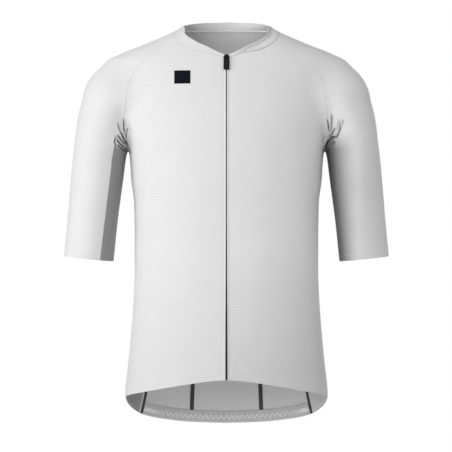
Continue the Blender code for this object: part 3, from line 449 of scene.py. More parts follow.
def sideGrid(side, lines):
    front = np.vstack([lines["frontArm"][::-1], lines["frontSide"][1:]])
    back = np.vstack([lines["backArm"][::-1], lines["backSide"][1:]])
    shares = paced(mesh["sideColumns"], "strip")[:, None]
    armShares = paced(mesh["armRows"], "arm")
    sideShares = paced(mesh["sideRows"], "side")
    cuffOut = abs(front[0, 0] + back[0, 0]) / 2
    grid = []
    for row, (frontPoint, backPoint) in enumerate(zip(front, back)):
        middle = (frontPoint + backPoint) / 2
        down = row - mesh["armRows"]
        if down < 0:
            level = middle[2] + (cuff["innerOut"] - cuffOut) * cuff["slope"]
            rise = underarm["rise"] * (1 - armShares[-down]) ** underarm["risePower"]
            lower = min(level, underarm["armStart"] + rise)
            out = column(armRings, "out", lower) - column(armRings, "halfWidth", lower)
            outer = np.array([side * float(out), 0.0, float(lower)])
        elif down == 0:
            outer = np.array([side * underarm["out"], 0.0, underarm["height"]])
        else:
            fall = underarm["fall"] * sideShares[down] ** underarm["fallPower"]
            lower = min(middle[2], underarm["bodyStart"] - fall)
            outer = onRing(np.array(side * angleOf(middle * [side, 1, 1])), np.array(lower))
        curve = 1 - (2 * shares - 1) ** 2
        grid.append(frontPoint * (1 - shares) + backPoint * shares + (outer - middle) * curve)
    grid = np.array(grid)
    grid[:, 1:-1] = settle(grid[:, 1:-1], mesh["stripRounds"])
    # rows crowd toward the armpit all across the strip
    for place in range(1, mesh["sideColumns"]):
        for half, part in ((slice(0, mesh["armRows"] + 1), 1 - armShares[::-1]),
                           (slice(mesh["armRows"], None), sideShares)):
            grid[half, place] = resample(grid[half, place], part)
    grid[:, 1:-1] = settle(grid[:, 1:-1], mesh["lastRounds"])
    return grid


def picked(values, rows, columns):
    # values of a grid at places between its points
    lastRow = values.shape[0] - 2
    lastColumn = values.shape[1] - 2
    row = np.clip(np.floor(rows).astype(int), 0, lastRow)
    place = np.clip(np.floor(columns).astype(int), 0, lastColumn)
    down = (rows - row)[..., None]
    across = (columns - place)[..., None]
    upper = values[row, place] * (1 - across) + values[row, place + 1] * across
    lower = values[row + 1, place] * (1 - across) + values[row + 1, place + 1] * across
    return upper * (1 - down) + lower * down


def edgeLine(grid, edge):
    return {"top": (grid[0], grid[1]), "bottom": (grid[-1], grid[-2]),
            "left": (grid[:, 0], grid[:, 1]), "right": (grid[:, -1], grid[:, -2])}[edge]


def pullIn(grid, edges):
    # each named edge moves in by half the gap at a seam
    moved = grid.copy()
    for edge in edges:
        line, inner = edgeLine(grid, edge)
        along = unit(np.gradient(line, axis=0))
        inward = inner - line
        inward = unit(inward - along * (inward * along).sum(axis=1, keepdims=True))
        edgeLine(moved, edge)[0][...] += inward * seamGap / 2
    return moved


def reachFrom(grid, edge):
    # how far each point is from one edge, along the cloth
    axis = 0 if edge in ("top", "bottom") else 1
    steps = np.linalg.norm(np.diff(grid, axis=axis), axis=-1)
    if edge in ("bottom", "right"):
        steps = np.flip(steps, axis)
    start = np.zeros_like(np.take(steps, [0], axis=axis))
    reach = np.concatenate([start, np.cumsum(steps, axis=axis)], axis=axis)
    return np.flip(reach, axis) if edge in ("bottom", "right") else reach


# Creases: each is a soft trough with a low ridge beside it
Crease = namedtuple("Crease", "side face outA heightA outB heightB outC heightC width depth")
creases = tableOf(Crease,
    # front of the wearer's right armpit: a fan above, a gathered knot below
    (-1, -1, 193.1, -159.5, 189.6, -175, 186.0, -185, 1.25, 1.9),
    (-1, -1, 188.2, -177, 184.8, -188.5, 178.4, -200.5, 1.5, 3.0),
    (-1, -1, 181.4, -151, 182.4, -172.5, 179.6, -190, 1.3, 2.1),
    (-1, -1, 180.4, -184, 178.6, -193, 176.2, -203, 1.2, 1.6),
    (-1, -1, 174.8, -170.5, 177.4, -178.5, 177.6, -189, 1.15, 1.5),
    (-1, -1, 192.6, -184.5, 187.8, -193.2, 181.6, -201.5, 1.2, 2.0),
    (-1, -1, 195.2, -191.5, 189.6, -199.4, 182.6, -206.5, 1.25, 2.2),
    (-1, -1, 194.6, -185.6, 198.0, -194.5, 196.0, -205.5, 1.15, 1.5),
    (-1, -1, 193.8, -200.5, 188.6, -206.5, 182.4, -212.5, 1.2, 1.5),
    (-1, -1, 185.8, -202, 182.6, -207.5, 177.8, -212.5, 1.1, 1.4),
    # front of the wearer's left armpit: a bent main fold with short ones above it
    (1, -1, 202.6, -155.5, 199.2, -178.0, 192.4, -190.8, 1.1, 2.3),
    (1, -1, 196.6, -187.4, 184.0, -192.6, 174.6, -207.2, 1.7, 3.4),
    (1, -1, 178.4, -154, 180.7, -167.8, 183.0, -179.5, 1.2, 2.1),
    (1, -1, 185.2, -143.5, 186.4, -163.3, 185.7, -179.5, 1.15, 2.1),
    (1, -1, 192.2, -170.5, 189.8, -177.8, 185.6, -186.2, 1.3, 2.2),
    (1, -1, 182.8, -180.6, 185.0, -187.0, 189.8, -186.0, 1.3, 1.9),
    (1, -1, 207.4, -152.5, 204.0, -167.7, 199.6, -179.2, 1.05, 1.2),
    (1, -1, 200.2, -153.8, 197.0, -165.5, 194.4, -177.2, 1.0, 1.1),
    (1, -1, 197.0, -195.4, 190.0, -199.0, 183.0, -200.8, 2.0, 0.5),
    # backs of both armpits: longer and softer
    (-1, 1, 183.5, -126, 185.4, -152, 182.0, -181, 3.2, 1.1),
    (-1, 1, 203, -142, 197.6, -163, 186.0, -185, 3.6, 1.5),
    (-1, 1, 168, -146, 173.0, -167, 179.2, -187, 2.8, 0.9),
    (-1, 1, 206, -176, 197.4, -190, 184.5, -198, 3.0, 1.2),
    (-1, 1, 163, -178, 170.2, -189, 178.0, -197, 2.4, 0.7),
    (1, 1, 207, -137, 199.4, -163, 185.0, -188, 3.8, 1.7),
    (1, 1, 181.0, -134, 184.6, -157, 182.4, -183, 2.9, 1.0),
    (1, 1, 193, -150, 191.0, -167, 185.6, -184, 2.6, 0.8),
    (1, 1, 166, -159, 172.6, -176, 179.0, -193, 2.8, 0.9),
    (1, 1, 203, -184, 195.8, -194, 184.8, -200, 2.6, 0.9),
)
creaseLook = {"samples": 40, "wider": 1.12, "deeper": 1.55, "ridge": 0.5, "ridgeOut": 1.6, "startFade": 0.3,
              "endFade": 0.12, "reach": 44, "shade": 2.6, "shadeWidth": 0.8, "faceFade": 4}

# Long soft sways of the cloth: where, how wide and how high
Sway = namedtuple("Sway", "out face heightA heightB lean width lift")
sways = tableOf(Sway,
    (-62, -1, -180, -560, 14, 26, 0.9), (58, -1, -230, -590, -10, 30, 1.0),
    (128, -1, -160, -420, -16, 22, 1.1), (-126, -1, -200, -470, 12, 24, 0.8),
    (-40, 1, -120, -470, -12, 30, 1.0), (48, 1, -160, -520, 10, 26, 0.9),
    (112, 1, -200, -520, -14, 26, 1.0), (-118, 1, -170, -500, 16, 24, 0.9),
)


def creaseRelief(points):
    # how far each point moves, and the painted shade in the bottom of each fold, from 0 to 1
    lift = np.zeros(points.shape[:-1])
    shade = np.zeros(points.shape[:-1])
    shares = np.linspace(0, 1, creaseLook["samples"])
    weights = np.stack([(1 - shares) ** 2, 2 * shares * (1 - shares), shares**2], axis=1)
    x, y, z = coordsOf(points)
    seen = np.stack([np.abs(x), z], axis=-1)
    for crease in creases:
        start, middle, end = np.array(crease[2:8]).reshape(3, 2)
        near = (x * crease.side > 0) & (y * crease.face > -creaseLook["faceFade"])
        near &= np.linalg.norm(seen - middle, axis=-1) < creaseLook["reach"]
        if not near.any():
            continue
        line = weights @ np.stack([start, 2 * middle - (start + end) / 2, end])
        gaps = np.linalg.norm(seen[near][:, None] - line, axis=-1)
        gap = gaps.min(axis=1) / (crease.width * creaseLook["wider"])
        share = shares[gaps.argmin(axis=1)]
        fade = smooth(ramp(share, 0, creaseLook["startFade"]) * ramp(1 - share, 0, creaseLook["endFade"]))
        faced = ramp(y[near] * crease.face, -creaseLook["faceFade"], creaseLook["faceFade"])
        pull = crease.depth * creaseLook["deeper"] * fade * faced
        lift[near] += pull * (creaseLook["ridge"] * bell(gap, creaseLook["ridgeOut"], 1) - bell(gap, 0, 1))
        # painted shade along the bottom of each fold
        shade[near] += pull / creaseLook["shade"] * bell(gap, 0, creaseLook["shadeWidth"])
    return lift, np.clip(shade, 0, 1)


def swayRelief(points):
    x, y, z = coordsOf(points)
    lift = np.zeros(points.shape[:-1])
    for sway in sways:
        down = ramp(z, sway.heightA, sway.heightB)
        across = bell(x, sway.out + sway.lean * (down - 0.5), sway.width)
        lift += sway.lift * np.sin(np.pi * down) ** 2 * across * (y * sway.face > 0)
    return lift


# Where the side panel's own colour starts below the armpit's folds, seen from the front
rightNetTop = tableOf(Spot,
    (150, -210), (172.6, -208.5), (175.2, -202.3), (177.9, -196.5), (180.5, -191.7), (183.2, -186.4),
    (185.9, -180.5), (191.2, -182.5), (194.5, -186.0), (197.4, -193.0), (199.5, -205.0), (202.0, -225.0),
)
leftNetTop = tableOf(Spot,
    (150, -208), (173.5, -208), (176, -205.5), (184.4, -195), (192.6, -191.4), (198.4, -180), (204, -150),
)
netTop = {"soft": 1.6, "knotFloor": -210.0, "knotFade": 9.0, "knotShare": 0.72, "ridgeLift": 1.3,
          "ridgePaintedHighlight": 0.75, "bodyOut": 177.0, "bodyShare": 0.6, "backHeight": -175.0, "allowance": 7.5,
          "allowancePale": 0.95, "innerPale": {"sidePanel_right": 0.15, "sidePanel_left": 0.8}}
# Painted shade on the inside of the left sleeve, which lies turned away next to the body: from its front seam
# to both sides, and a broad painted shade over the middle of the sleeve
innerShade = {"seamOut": 191.5, "seamOutLow": 211.0, "height": -200.0, "heightLow": -408.0, "reach": 42.0,
              "reachLow": 22.0, "atSeam": 0.64, "netReach": 12.0, "netMost": 0.84, "top": -178.0,
              "topFade": 32.0, "midOut": 240.0, "midWidth": 24.0, "midShare": 0.15, "midTop": -200.0,
              "midFade": 70.0, "frontFrom": 4.0, "frontFade": 12.0, "netPower": 0.8, "power": 1.2}
# Painted shade in the hollow of the left armpit's knot
hollowPaintedShade = {"out": 184.5, "height": -187.5, "halfWidth": 8.0, "halfHeight": 9.0, "shade": 0.5}
# Painted shade on both fronts, growing towards the hem, more on the wearer's left
lowShade = {"top": -385.0, "low": -600.0, "frontPanel_right": 0.085, "frontPanel_left": 0.18}


def netShare(points, creased):
    # 1 where the side panel shows its grey net, 0 where it is as pale as the rest
    x, y, z = coordsOf(points)
    out = np.abs(x)
    right, left = (np.clip((np.interp(out, *zip(*spots)) - z) / netTop["soft"] + 0.5, 0, 1)
                   for spots in (rightNetTop, leftNetTop))
    knot = ramp(z, netTop["knotFloor"], netTop["knotFloor"] + netTop["knotFade"])
    right *= 1 - (1 - netTop["knotShare"]) * knot
    # painted highlight: the ridges of the creases in the wearer's right knot show paler
    right *= 1 - netTop["ridgePaintedHighlight"] * ramp(creased, 0, netTop["ridgeLift"]) * knot
    front = np.where(x > 0, left, right)
    front = np.where(out < netTop["bodyOut"], front * netTop["bodyShare"], front)
    back = np.clip((netTop["backHeight"] - z) / netTop["soft"] + 0.5, 0, 1)
    return np.where(y < 0, front, back)


def armShade(points, onNet):
    # painted shade from 0 to 1: the net darkest at its inner edge, the sleeve darkest at the seam, and a
    # broad band over the sleeve's middle
    look = innerShade
    x, y, z = coordsOf(points)
    down = ramp(z, look["height"], look["heightLow"])
    beyond = x - look["seamOut"] - (look["seamOutLow"] - look["seamOut"]) * down
    if onNet:
        share = look["netMost"] * ramp(-beyond, 0, look["netReach"]) ** look["netPower"]
        share = share * (x > netTop["bodyOut"])
    else:
        reach = look["reach"] + (look["reachLow"] - look["reach"]) * down
        share = look["atSeam"] * ramp(beyond, reach, 0) ** look["power"]
        middle = look["midShare"] * ramp(z, look["midTop"], look["midTop"] - look["midFade"])
        share = 1 - (1 - share) * (1 - middle * bell(x, look["midOut"], look["midWidth"]))
    share *= ramp(z, look["top"], look["top"] - look["topFade"])
    off = np.hypot((x - hollowPaintedShade["out"]) / hollowPaintedShade["halfWidth"], (z - hollowPaintedShade["height"]) / hollowPaintedShade["halfHeight"])
    share = np.maximum(share, hollowPaintedShade["shade"] * bell(off, 0, 1))
    return share * ramp(y, look["frontFrom"], look["frontFrom"] - look["frontFade"])


# Edges of the panels
seamEdge = {"dip": 0.3, "dipWidth": 1.0, "ridge": 0.16, "ridgeAt": 3.4, "ridgeWidth": 1.3}
Opening = namedtuple("Opening", "height half")
zipOpening = tableOf(Opening, (-45, 0.85), (-300, 0.9), (-420, 1.1), (-540, 1.7), (-620, 1.9))
zipEdge = {"bead": 0.75, "beadWidth": 2.3, "groove": 0.3, "grooveAt": 5.2,
           "grooveWidth": 0.9, "flatAbove": -60.0, "flatFade": 5.0, "flatLeast": 0.15}
hemEdge = {"groove": 0.16, "grooveAt": 9.0, "grooveWidth": 0.8, "roll": 0.25, "rollWidth": 1.0}
facing = {"hemWidth": 11.0, "hemDepth": 0.55, "seamWidth": 3.2, "seamDepth": 0.3, "step": 0.7}


def seamRelief(reach):
    ridge = seamEdge["ridge"] * bell(reach, seamEdge["ridgeAt"], seamEdge["ridgeWidth"])
    return ridge - seamEdge["dip"] * bell(reach, 0, seamEdge["dipWidth"])


def zipRelief(reach):
    share = ramp(reach, 0, zipEdge["beadWidth"])
    bead = zipEdge["bead"] * np.sqrt(np.clip(1 - (2 * share - 1) ** 2, 0, 1))
    return bead - zipEdge["groove"] * bell(reach, zipEdge["grooveAt"], zipEdge["grooveWidth"])


def hemRelief(reach):
    groove = hemEdge["groove"] * bell(reach, hemEdge["grooveAt"], hemEdge["grooveWidth"])
    return -groove - hemEdge["roll"] * bell(reach, 0, hemEdge["rollWidth"])


def addMesh(name, corners, faces, material, body="jersey"):
    data = bpy.data.meshes.new(name)
    data.from_pydata((np.asarray(corners) * mm).tolist(), [], [list(map(int, face)) for face in faces])
    data.update()
    data.materials.append(material)
    data.shade_smooth()
    piece = bpy.data.objects.new(name, data)
    bpy.context.scene.collection.objects.link(piece)
    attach(piece, body)
    return piece


def shellMesh(name, outer, normals, wall, material):
    # a closed wall behind a grid of points, all quads
    rows, columns = outer.shape[:2]
    count = rows * columns
    inner = outer - normals * np.asarray(wall)[..., None]
    corners = np.concatenate([outer.reshape(-1, 3), inner.reshape(-1, 3)])
    place = np.arange(count).reshape(rows, columns)
    face = np.stack([place[:-1, :-1], place[1:, :-1], place[1:, 1:], place[:-1, 1:]], axis=-1).reshape(-1, 4)
    rim = np.concatenate([place[:-1, 0], place[-1, :-1], place[:0:-1, -1], place[0, :0:-1]])
    following = np.roll(rim, -1)
    edge = np.stack([following, rim, rim + count, following + count], axis=1)
    faces = np.concatenate([face, face[:, ::-1] + count, edge])
    probe = face[len(face) // 2]
    facing = np.cross(corners[probe[1]] - corners[probe[0]], corners[probe[2]] - corners[probe[0]])
    if facing @ (corners[probe[0]] - corners[probe[0] + count]) < 0:
        faces = faces[:, ::-1]
    piece = addMesh(name, corners, faces, material)
    piece.data.set_sharp_from_angle(angle=mesh["sharpAngle"])
    return piece


def turnedIn(grid, hems, seamEdges):
    # turned-up hems and overlocked seams make the cloth thicker on its inner side
    extra = np.zeros(grid.shape[:2])
    for edges, width, depth in ((hems, "hemWidth", "hemDepth"), (seamEdges, "seamWidth", "seamDepth")):
        for edge in edges:
            share = np.clip((facing[width] - reachFrom(grid, edge)) / facing["step"], 0, 1)
            extra = np.maximum(extra, facing[depth] * smooth(share))
    return extra


def markPoints(piece, name, values, innerValues=None):
    # a value at each outer point, and one at the inner point behind it
    mark = piece.data.attributes.new(name, "FLOAT", "POINT")
    innerValues = values if innerValues is None else innerValues
    both = np.concatenate([values.reshape(-1), innerValues.reshape(-1)])
    mark.data.foreach_set("value", np.clip(both, 0, 1).astype(np.float32))


def dress(piece, slot, node=None, **sheet):
    # hides the part in model.glb that a piece stands for
    if node:
        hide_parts(node)


panels = {}


def clothPanel(name, grid, seamEdges, hems, material, slot, node, zipSide=False, **cut):
    grid = pullIn(grid, seamEdges)
    normals = outward(grid)
    creased, creaseShadePaint = creaseRelief(grid)
    lift = creased + swayRelief(grid)
    for edge in seamEdges:
        lift += seamRelief(reachFrom(grid, edge))
    for edge in hems:
        lift += hemRelief(reachFrom(grid, edge))
    if zipSide:
        flat = np.clip((zipEdge["flatAbove"] - grid[..., 2]) / zipEdge["flatFade"], zipEdge["flatLeast"], 1)
        lift += zipRelief(reachFrom(grid, "left")) * flat
    outer = grid + normals * lift[..., None]
    piece = shellMesh(name, outer, normals, clothWall + turnedIn(grid, hems, seamEdges), material)
    # painted shade in the bottoms of the folds
    markPoints(piece, "fold", creaseShadePaint)
    # painted shade on the left sleeve and its side net
    if name in ("sleevePanel_left", "sidePanel_left"):
        markPoints(piece, "shade", armShade(grid, material == sideNet))
    # painted shade on the fronts towards the hem
    if name in lowShade:
        lower = ramp(grid[..., 2], lowShade["top"], lowShade["low"])
        markPoints(piece, "shade", lowShade[name] * lower, 0 * lower)
    if material == sideNet:
        plain = 1 - netShare(grid, creased)
        allowance = np.clip((netTop["allowance"] - reachFrom(grid, "right")) / netTop["soft"], 0, 1)
        paler = netTop["innerPale"][name]
        paler = paler + (netTop["allowancePale"] - paler) * allowance
        markPoints(piece, "plain", plain, np.maximum(plain, paler))
    dress(piece, slot, node, held="hung", **cut)
    panels[name] = (outer, normals)
    print("panel", name, outer.shape[:2])


# Materials. Colours are linear.
socketKinds = {float: "NodeSocketFloat", tuple: "NodeSocketColor", type(None): "NodeSocketVector"}
black = (0.0, 0.0, 0.0, 1.0)
paleCloth = (0.8, 0.8, 0.8, 1.0)


def newGroup(name, inputs, outputs):
    # sockets by name: a number, a colour, or None for a vector
    tree = bpy.data.node_groups.new(name, "ShaderNodeTree")
    for way, sockets in (("INPUT", inputs), ("OUTPUT", outputs)):
        for label, value in sockets.items():
            socket = tree.interface.new_socket(name=label, in_out=way, socket_type=socketKinds[type(value)])
            if value is not None:
                socket.default_value = value
    return tree, tree.nodes.new("NodeGroupInput").outputs, tree.nodes.new("NodeGroupOutput").inputs


def addNode(tree, kind, inputs=(), **settings):
    # a node with its settings, each socket set to a value or linked to another node
    node = tree.nodes.new("ShaderNode" + kind)
    for name, value in settings.items():
        setattr(node, name, value)
    for socket, value in dict(inputs).items():
        if isinstance(value, bpy.types.NodeSocket):
            tree.links.new(value, node.inputs[socket])
        else:
            node.inputs[socket].default_value = value
    return node.outputs


def mathNode(tree, operation, *values):
    return addNode(tree, "Math", enumerate(values), operation=operation)[0]


def noiseNode(tree, vector, scale, detail=2.0):
    return addNode(tree, "TexNoise", {"Vector": vector, "Scale": scale, "Detail": detail})["Fac"]


def mixNode(tree, share, first, second, blend="MIX"):
    sockets = {"Factor": share, "A": first, "B": second}
    return addNode(tree, "Mix", sockets, data_type="RGBA", blend_type=blend)["Result"]


def waveNode(tree, level, pitch, turn):
    return mathNode(tree, "SINE", mathNode(tree, "MULTIPLY", mathNode(tree, "DIVIDE", level, pitch), turn))


yarn = {"warpScale": 9.0, "warp": 0.006, "ribPower": 0.7, "patchScale": 26.0, "patchGain": 1.4,
        "patchFrom": -0.2, "loopHeight": 0.35, "fleckScale": 420.0, "holePower": 1.5, "netScale": 30.0}


def ribKnitGroup():
    # fine ribs across the cloth with small knit loops, and the soft unevenness of the yarn
    inputs = {"Vector": None, "Slope": 0.0, "Rib Pitch": 0.0049, "Loop Pitch": 0.0011, "Rib Height": 0.6}
    tree, given, made = newGroup("ribKnit", inputs, {"Height": 0.0, "Shade": 0.0, "Unevenness": 0.0})
    split = addNode(tree, "SeparateXYZ", {0: given["Vector"]})
    warp = mathNode(tree, "SUBTRACT", noiseNode(tree, given["Vector"], yarn["warpScale"]), 0.5)
    lean = mathNode(tree, "MULTIPLY", split["X"], given["Slope"])
    drift = mathNode(tree, "MULTIPLY", warp, yarn["warp"])
    level = mathNode(tree, "ADD", mathNode(tree, "ADD", split["Z"], lean), drift)
    wave = waveNode(tree, level, given["Rib Pitch"], 2 * math.pi)
    rib = mathNode(tree, "POWER", mathNode(tree, "MULTIPLY_ADD", wave, 0.5, 0.5), yarn["ribPower"])
    patches = noiseNode(tree, given["Vector"], yarn["patchScale"], 3.0)
    strength = mathNode(tree, "MULTIPLY_ADD", patches, yarn["patchGain"], yarn["patchFrom"])
    strong = mathNode(tree, "MULTIPLY", rib, strength)
    loopScale = mathNode(tree, "DIVIDE", 1.0, given["Loop Pitch"])
    loops = addNode(tree, "TexVoronoi", {"Vector": given["Vector"], "Scale": loopScale}, feature="F1")
    ribHeight = mathNode(tree, "MULTIPLY", strong, given["Rib Height"])
    loopHeight = mathNode(tree, "MULTIPLY", loops["Distance"], yarn["loopHeight"])
    tree.links.new(mathNode(tree, "SUBTRACT", ribHeight, loopHeight), made["Height"])
    # painted shade: the Shade output is lower in the rib troughs, for darker colour there
    tree.links.new(strong, made["Shade"])
    tree.links.new(patches, made["Unevenness"])
    return tree


def weaveGroup():
    # plain weave for tapes and bands: two crossed waves
    inputs = {"Vector": None, "Pitch": 0.0008}
    tree, given, made = newGroup("tapeWeave", inputs, {"Height": 0.0, "Fleck": 0.0})
    split = addNode(tree, "SeparateXYZ", {0: given["Vector"]})
    waves = [waveNode(tree, split[axis], given["Pitch"], 2 * math.pi) for axis in "XZ"]
    crossed = mathNode(tree, "MULTIPLY", *waves)
    tree.links.new(mathNode(tree, "MULTIPLY_ADD", crossed, 0.5, 0.5), made["Height"])
    tree.links.new(noiseNode(tree, given["Vector"], yarn["fleckScale"]), made["Fleck"])
    return tree


def netGroup():
    # small holes of a knitted mesh, in offset rows
    inputs = {"Vector": None, "Pitch": 0.0016}
    tree, given, made = newGroup("meshNet", inputs, {"Holes": 0.0, "Unevenness": 0.0})
    split = addNode(tree, "SeparateXYZ", {0: given["Vector"]})
    across = mathNode(tree, "ADD", split["X"], split["Y"])
    waves = [waveNode(tree, mathNode(tree, "MULTIPLY_ADD", split["Z"], sign, across), given["Pitch"], math.pi)
             for sign in (1.0, -1.0)]
    crossed = mathNode(tree, "ABSOLUTE", mathNode(tree, "MULTIPLY", *waves))
    tree.links.new(mathNode(tree, "POWER", crossed, yarn["holePower"]), made["Holes"])
    tree.links.new(noiseNode(tree, given["Vector"], yarn["netScale"], 3.0), made["Unevenness"])
    return tree


def foldShadeGroup():
    # painted shade: darker in the bottoms of the folds, and darker where the cloth carries a painted shade
    # mark
    inputs = {"Colour": paleCloth, "Fold": 0.0, "Shade": 0.0, "Fold Strength": 0.62}
    tree, given, made = newGroup("foldShade", inputs, {"Colour": paleCloth})
    creaseShadePaint = mathNode(tree, "MULTIPLY", given["Fold"], given["Fold Strength"])
    folded = mixNode(tree, creaseShadePaint, given["Colour"], black, "MULTIPLY")
    tree.links.new(mixNode(tree, given["Shade"], folded, black, "MULTIPLY"), made["Colour"])
    return tree


def scuffGroup():
    # fine scuffs of smooth hard or rubbery pieces
    tree, given, made = newGroup("scuffs", {"Vector": None, "Scale": 350.0}, {"Scuff": 0.0})
    tree.links.new(noiseNode(tree, given["Vector"], given["Scale"], 4.0), made["Scuff"])
    return tree


groups = {"rib": ribKnitGroup(), "weave": weaveGroup(), "net": netGroup(), "folds": foldShadeGroup(),
          "scuffs": scuffGroup()}


def startMaterial(name, **values):
    material = bpy.data.materials.new(name)
    material.use_nodes = True
    tree = material.node_tree
    shader = tree.nodes["Principled BSDF"].inputs
    for label, value in values.items():
        shader[label.replace("_", " ")].default_value = value
    return material, tree, shader, addNode(tree, "TexCoord")["Object"]


def twoTone(tree, share, dark, light):
    return mixNode(tree, share, (*dark, 1.0), (*light, 1.0))


def markOf(tree, name):
    return addNode(tree, "Attribute", attribute_name=name)["Fac"]


def shadedCloth(tree, colour):
    sockets = {"Colour": colour, "Fold": markOf(tree, "fold"), "Shade": markOf(tree, "shade")}
    return addNode(tree, "Group", sockets, node_tree=groups["folds"])["Colour"]


def finishMaterial(tree, shader, colour, uneven, height, rough, bump, distance):
    tree.links.new(colour, shader["Base Color"])
    spread = addNode(tree, "MapRange", {"Value": uneven, "To Min": rough[0], "To Max": rough[1]})
    tree.links.new(spread["Result"], shader["Roughness"])
    relief = addNode(tree, "Bump", {"Strength": bump, "Distance": distance, "Height": height})
    tree.links.new(relief["Normal"], shader["Normal"])


knitLook = {"dark": (0.755, 0.755, 0.756), "light": (0.812, 0.812, 0.813), "sheen": 0.12, "sheenRough": 0.5,
            "relief": {"rough": (0.78, 0.94), "bump": 0.4, "distance": 0.0006}}
netLook = {"dark": (0.20, 0.20, 0.205), "light": (0.33, 0.33, 0.335), "pitch": 0.0016, "sheen": 0.1,
           "relief": {"rough": (0.76, 0.92), "bump": 0.4, "distance": 0.0004}}


def knitMaterial(name, slope, paler=1.0):
    material, tree, shader, vector = startMaterial(name, Sheen_Weight=knitLook["sheen"],
                                                   Sheen_Roughness=knitLook["sheenRough"])
    rib = addNode(tree, "Group", {"Slope": slope, "Vector": vector}, node_tree=groups["rib"])
    dark, light = ([paler * part for part in knitLook[word]] for word in ("dark", "light"))
    # the rib troughs take painted shade through the rib's Shade output
    colour = shadedCloth(tree, twoTone(tree, rib["Shade"], dark, light))
    finishMaterial(tree, shader, colour, rib["Unevenness"], rib["Height"], **knitLook["relief"])
    return material


def netMaterial(name):
    material, tree, shader, vector = startMaterial(name, Sheen_Weight=netLook["sheen"])
    net = addNode(tree, "Group", {"Pitch": netLook["pitch"], "Vector": vector}, node_tree=groups["net"])
    grey = twoTone(tree, net["Holes"], netLook["light"], netLook["dark"])
    colour = shadedCloth(tree, mixNode(tree, markOf(tree, "plain"), grey, (*knitLook["light"], 1.0)))
    finishMaterial(tree, shader, colour, net["Unevenness"], net["Holes"], **netLook["relief"])
    return material


def tapeMaterial(name, dark, light, pitch, rough=0.8, bump=0.5, gloss=0.25):
    material, tree, shader, vector = startMaterial(name, Specular_IOR_Level=gloss)
    weave = addNode(tree, "Group", {"Pitch": pitch, "Vector": vector}, node_tree=groups["weave"])
    finishMaterial(tree, shader, twoTone(tree, weave["Fleck"], dark, light), weave["Fleck"], weave["Height"],
                   (rough - 0.08, rough + 0.1), bump, 0.0003)
    return material


def mouldedMaterial(name, dark, light, rough, scale, bump, metallic=0.0, gloss=0.2):
    material, tree, shader, vector = startMaterial(name, Specular_IOR_Level=gloss, Metallic=metallic)
    scuff = addNode(tree, "Group", {"Scale": scale, "Vector": vector}, node_tree=groups["scuffs"])["Scuff"]
    finishMaterial(tree, shader, twoTone(tree, scuff, dark, light), scuff, scuff, rough, bump, 0.0002)
    return material


bodyKnit = knitMaterial("bodyKnit", 0.0)
sleeveKnit = {1: knitMaterial("sleeveKnitLeft", -cuff["slope"]),
              -1: knitMaterial("sleeveKnitRight", cuff["slope"])}
sideNet = netMaterial("sideNet")
deepBlack = (0.004, 0.004, 0.005)
seamTape = tapeMaterial("seamTape", (0.045, 0.045, 0.05), (0.085, 0.085, 0.09), 0.0009)
hemElastic = tapeMaterial("hemElastic", (0.57, 0.57, 0.57), (0.67, 0.67, 0.67), 0.0013)
zipWeave = tapeMaterial("zipWeave", (0.05, 0.05, 0.055), (0.12, 0.12, 0.125), 0.0007)
whiteThread = tapeMaterial("whiteThread", (0.70, 0.70, 0.70), (0.86, 0.86, 0.86), 0.0005, 0.7, 0.2)
overlockThread = tapeMaterial("overlockThread", (0.90, 0.90, 0.90), (0.96, 0.96, 0.96), 0.0005, 0.7, 0.2)
greyThread = tapeMaterial("greyThread", (0.30, 0.30, 0.31), (0.42, 0.42, 0.43), 0.0005, 0.7, 0.2)
labelFilm = tapeMaterial("labelFilm", (0.002, 0.003, 0.006), (0.005, 0.006, 0.013), 0.0009, 0.6, 0.35, 0.1)
silicone = mouldedMaterial("gripSilicone", (0.88,) * 3, (0.94,) * 3, (0.3, 0.45), 300.0, 0.1, gloss=0.5)
coilPlastic = mouldedMaterial("coilPlastic", (0.012, 0.012, 0.014), (0.03, 0.03, 0.034), (0.32, 0.5),
                              500.0, 0.15)
sliderPaint = mouldedMaterial("sliderPaint", deepBlack, (0.012, 0.012, 0.013), (0.25, 0.42), 350.0, 0.1, 0.1)
pullRubber = mouldedMaterial("pullRubber", deepBlack, (0.011, 0.011, 0.012), (0.45, 0.65), 400.0, 0.25)
print("materials ready")

# Camera, light and floor
view = {"location": (-0.0009, -3.0, -0.346), "lens": 132.7, "sensor": 36.0}
cameraData = bpy.data.cameras.new("camera")
cameraData.lens = view["lens"]
cameraData.sensor_width = view["sensor"]
cameraData.clip_end = 50
camera = bpy.data.objects.new("camera", cameraData)
camera.location = view["location"]
camera.rotation_euler = (math.pi / 2, 0, 0)
bpy.context.scene.collection.objects.link(camera)
bpy.context.scene.camera = camera
bpy.context.scene.view_settings.view_transform = "Standard"

Lamp = namedtuple("Lamp", "name x y z size power")
lamps = (
    Lamp("keySoftbox", -2.4, -1.1, 0.2, 1.4, 25),
    Lamp("frontLeftSoftbox", -1.3, -2.3, 0.3, 1.4, 16),
    Lamp("frontFill", 0.0, -2.7, 0.5, 1.6, 13),
    Lamp("rightFill", 2.3, -1.0, 0.2, 1.4, 3.5),
    Lamp("topSoftbox", 0.0, -0.6, 2.2, 1.4, 3),
    Lamp("backFill", 0.7, 2.3, 0.3, 1.4, 31),
)
stageLook = {"aimHeight": -0.35, "ambient": 0.39, "floorHeight": -1.05, "floorRadius": 1.15,
             "floorDepth": 0.02, "dark": (0.86, 0.86, 0.86), "light": (0.9, 0.9, 0.9), "mottle": 6.0}


def addLamps():
    for lamp in lamps:
        data = bpy.data.lights.new(lamp.name, "AREA")
        data.shape = "DISK"
        data.size = lamp.size
        data.energy = lamp.power
        thing = bpy.data.objects.new(lamp.name, data)
        thing.location = (lamp.x, lamp.y, lamp.z)
        away = lamp.z - stageLook["aimHeight"]
        thing.rotation_euler = (math.atan2(math.hypot(lamp.x, lamp.y), away), 0, math.atan2(lamp.x, -lamp.y))
        bpy.context.scene.collection.objects.link(thing)


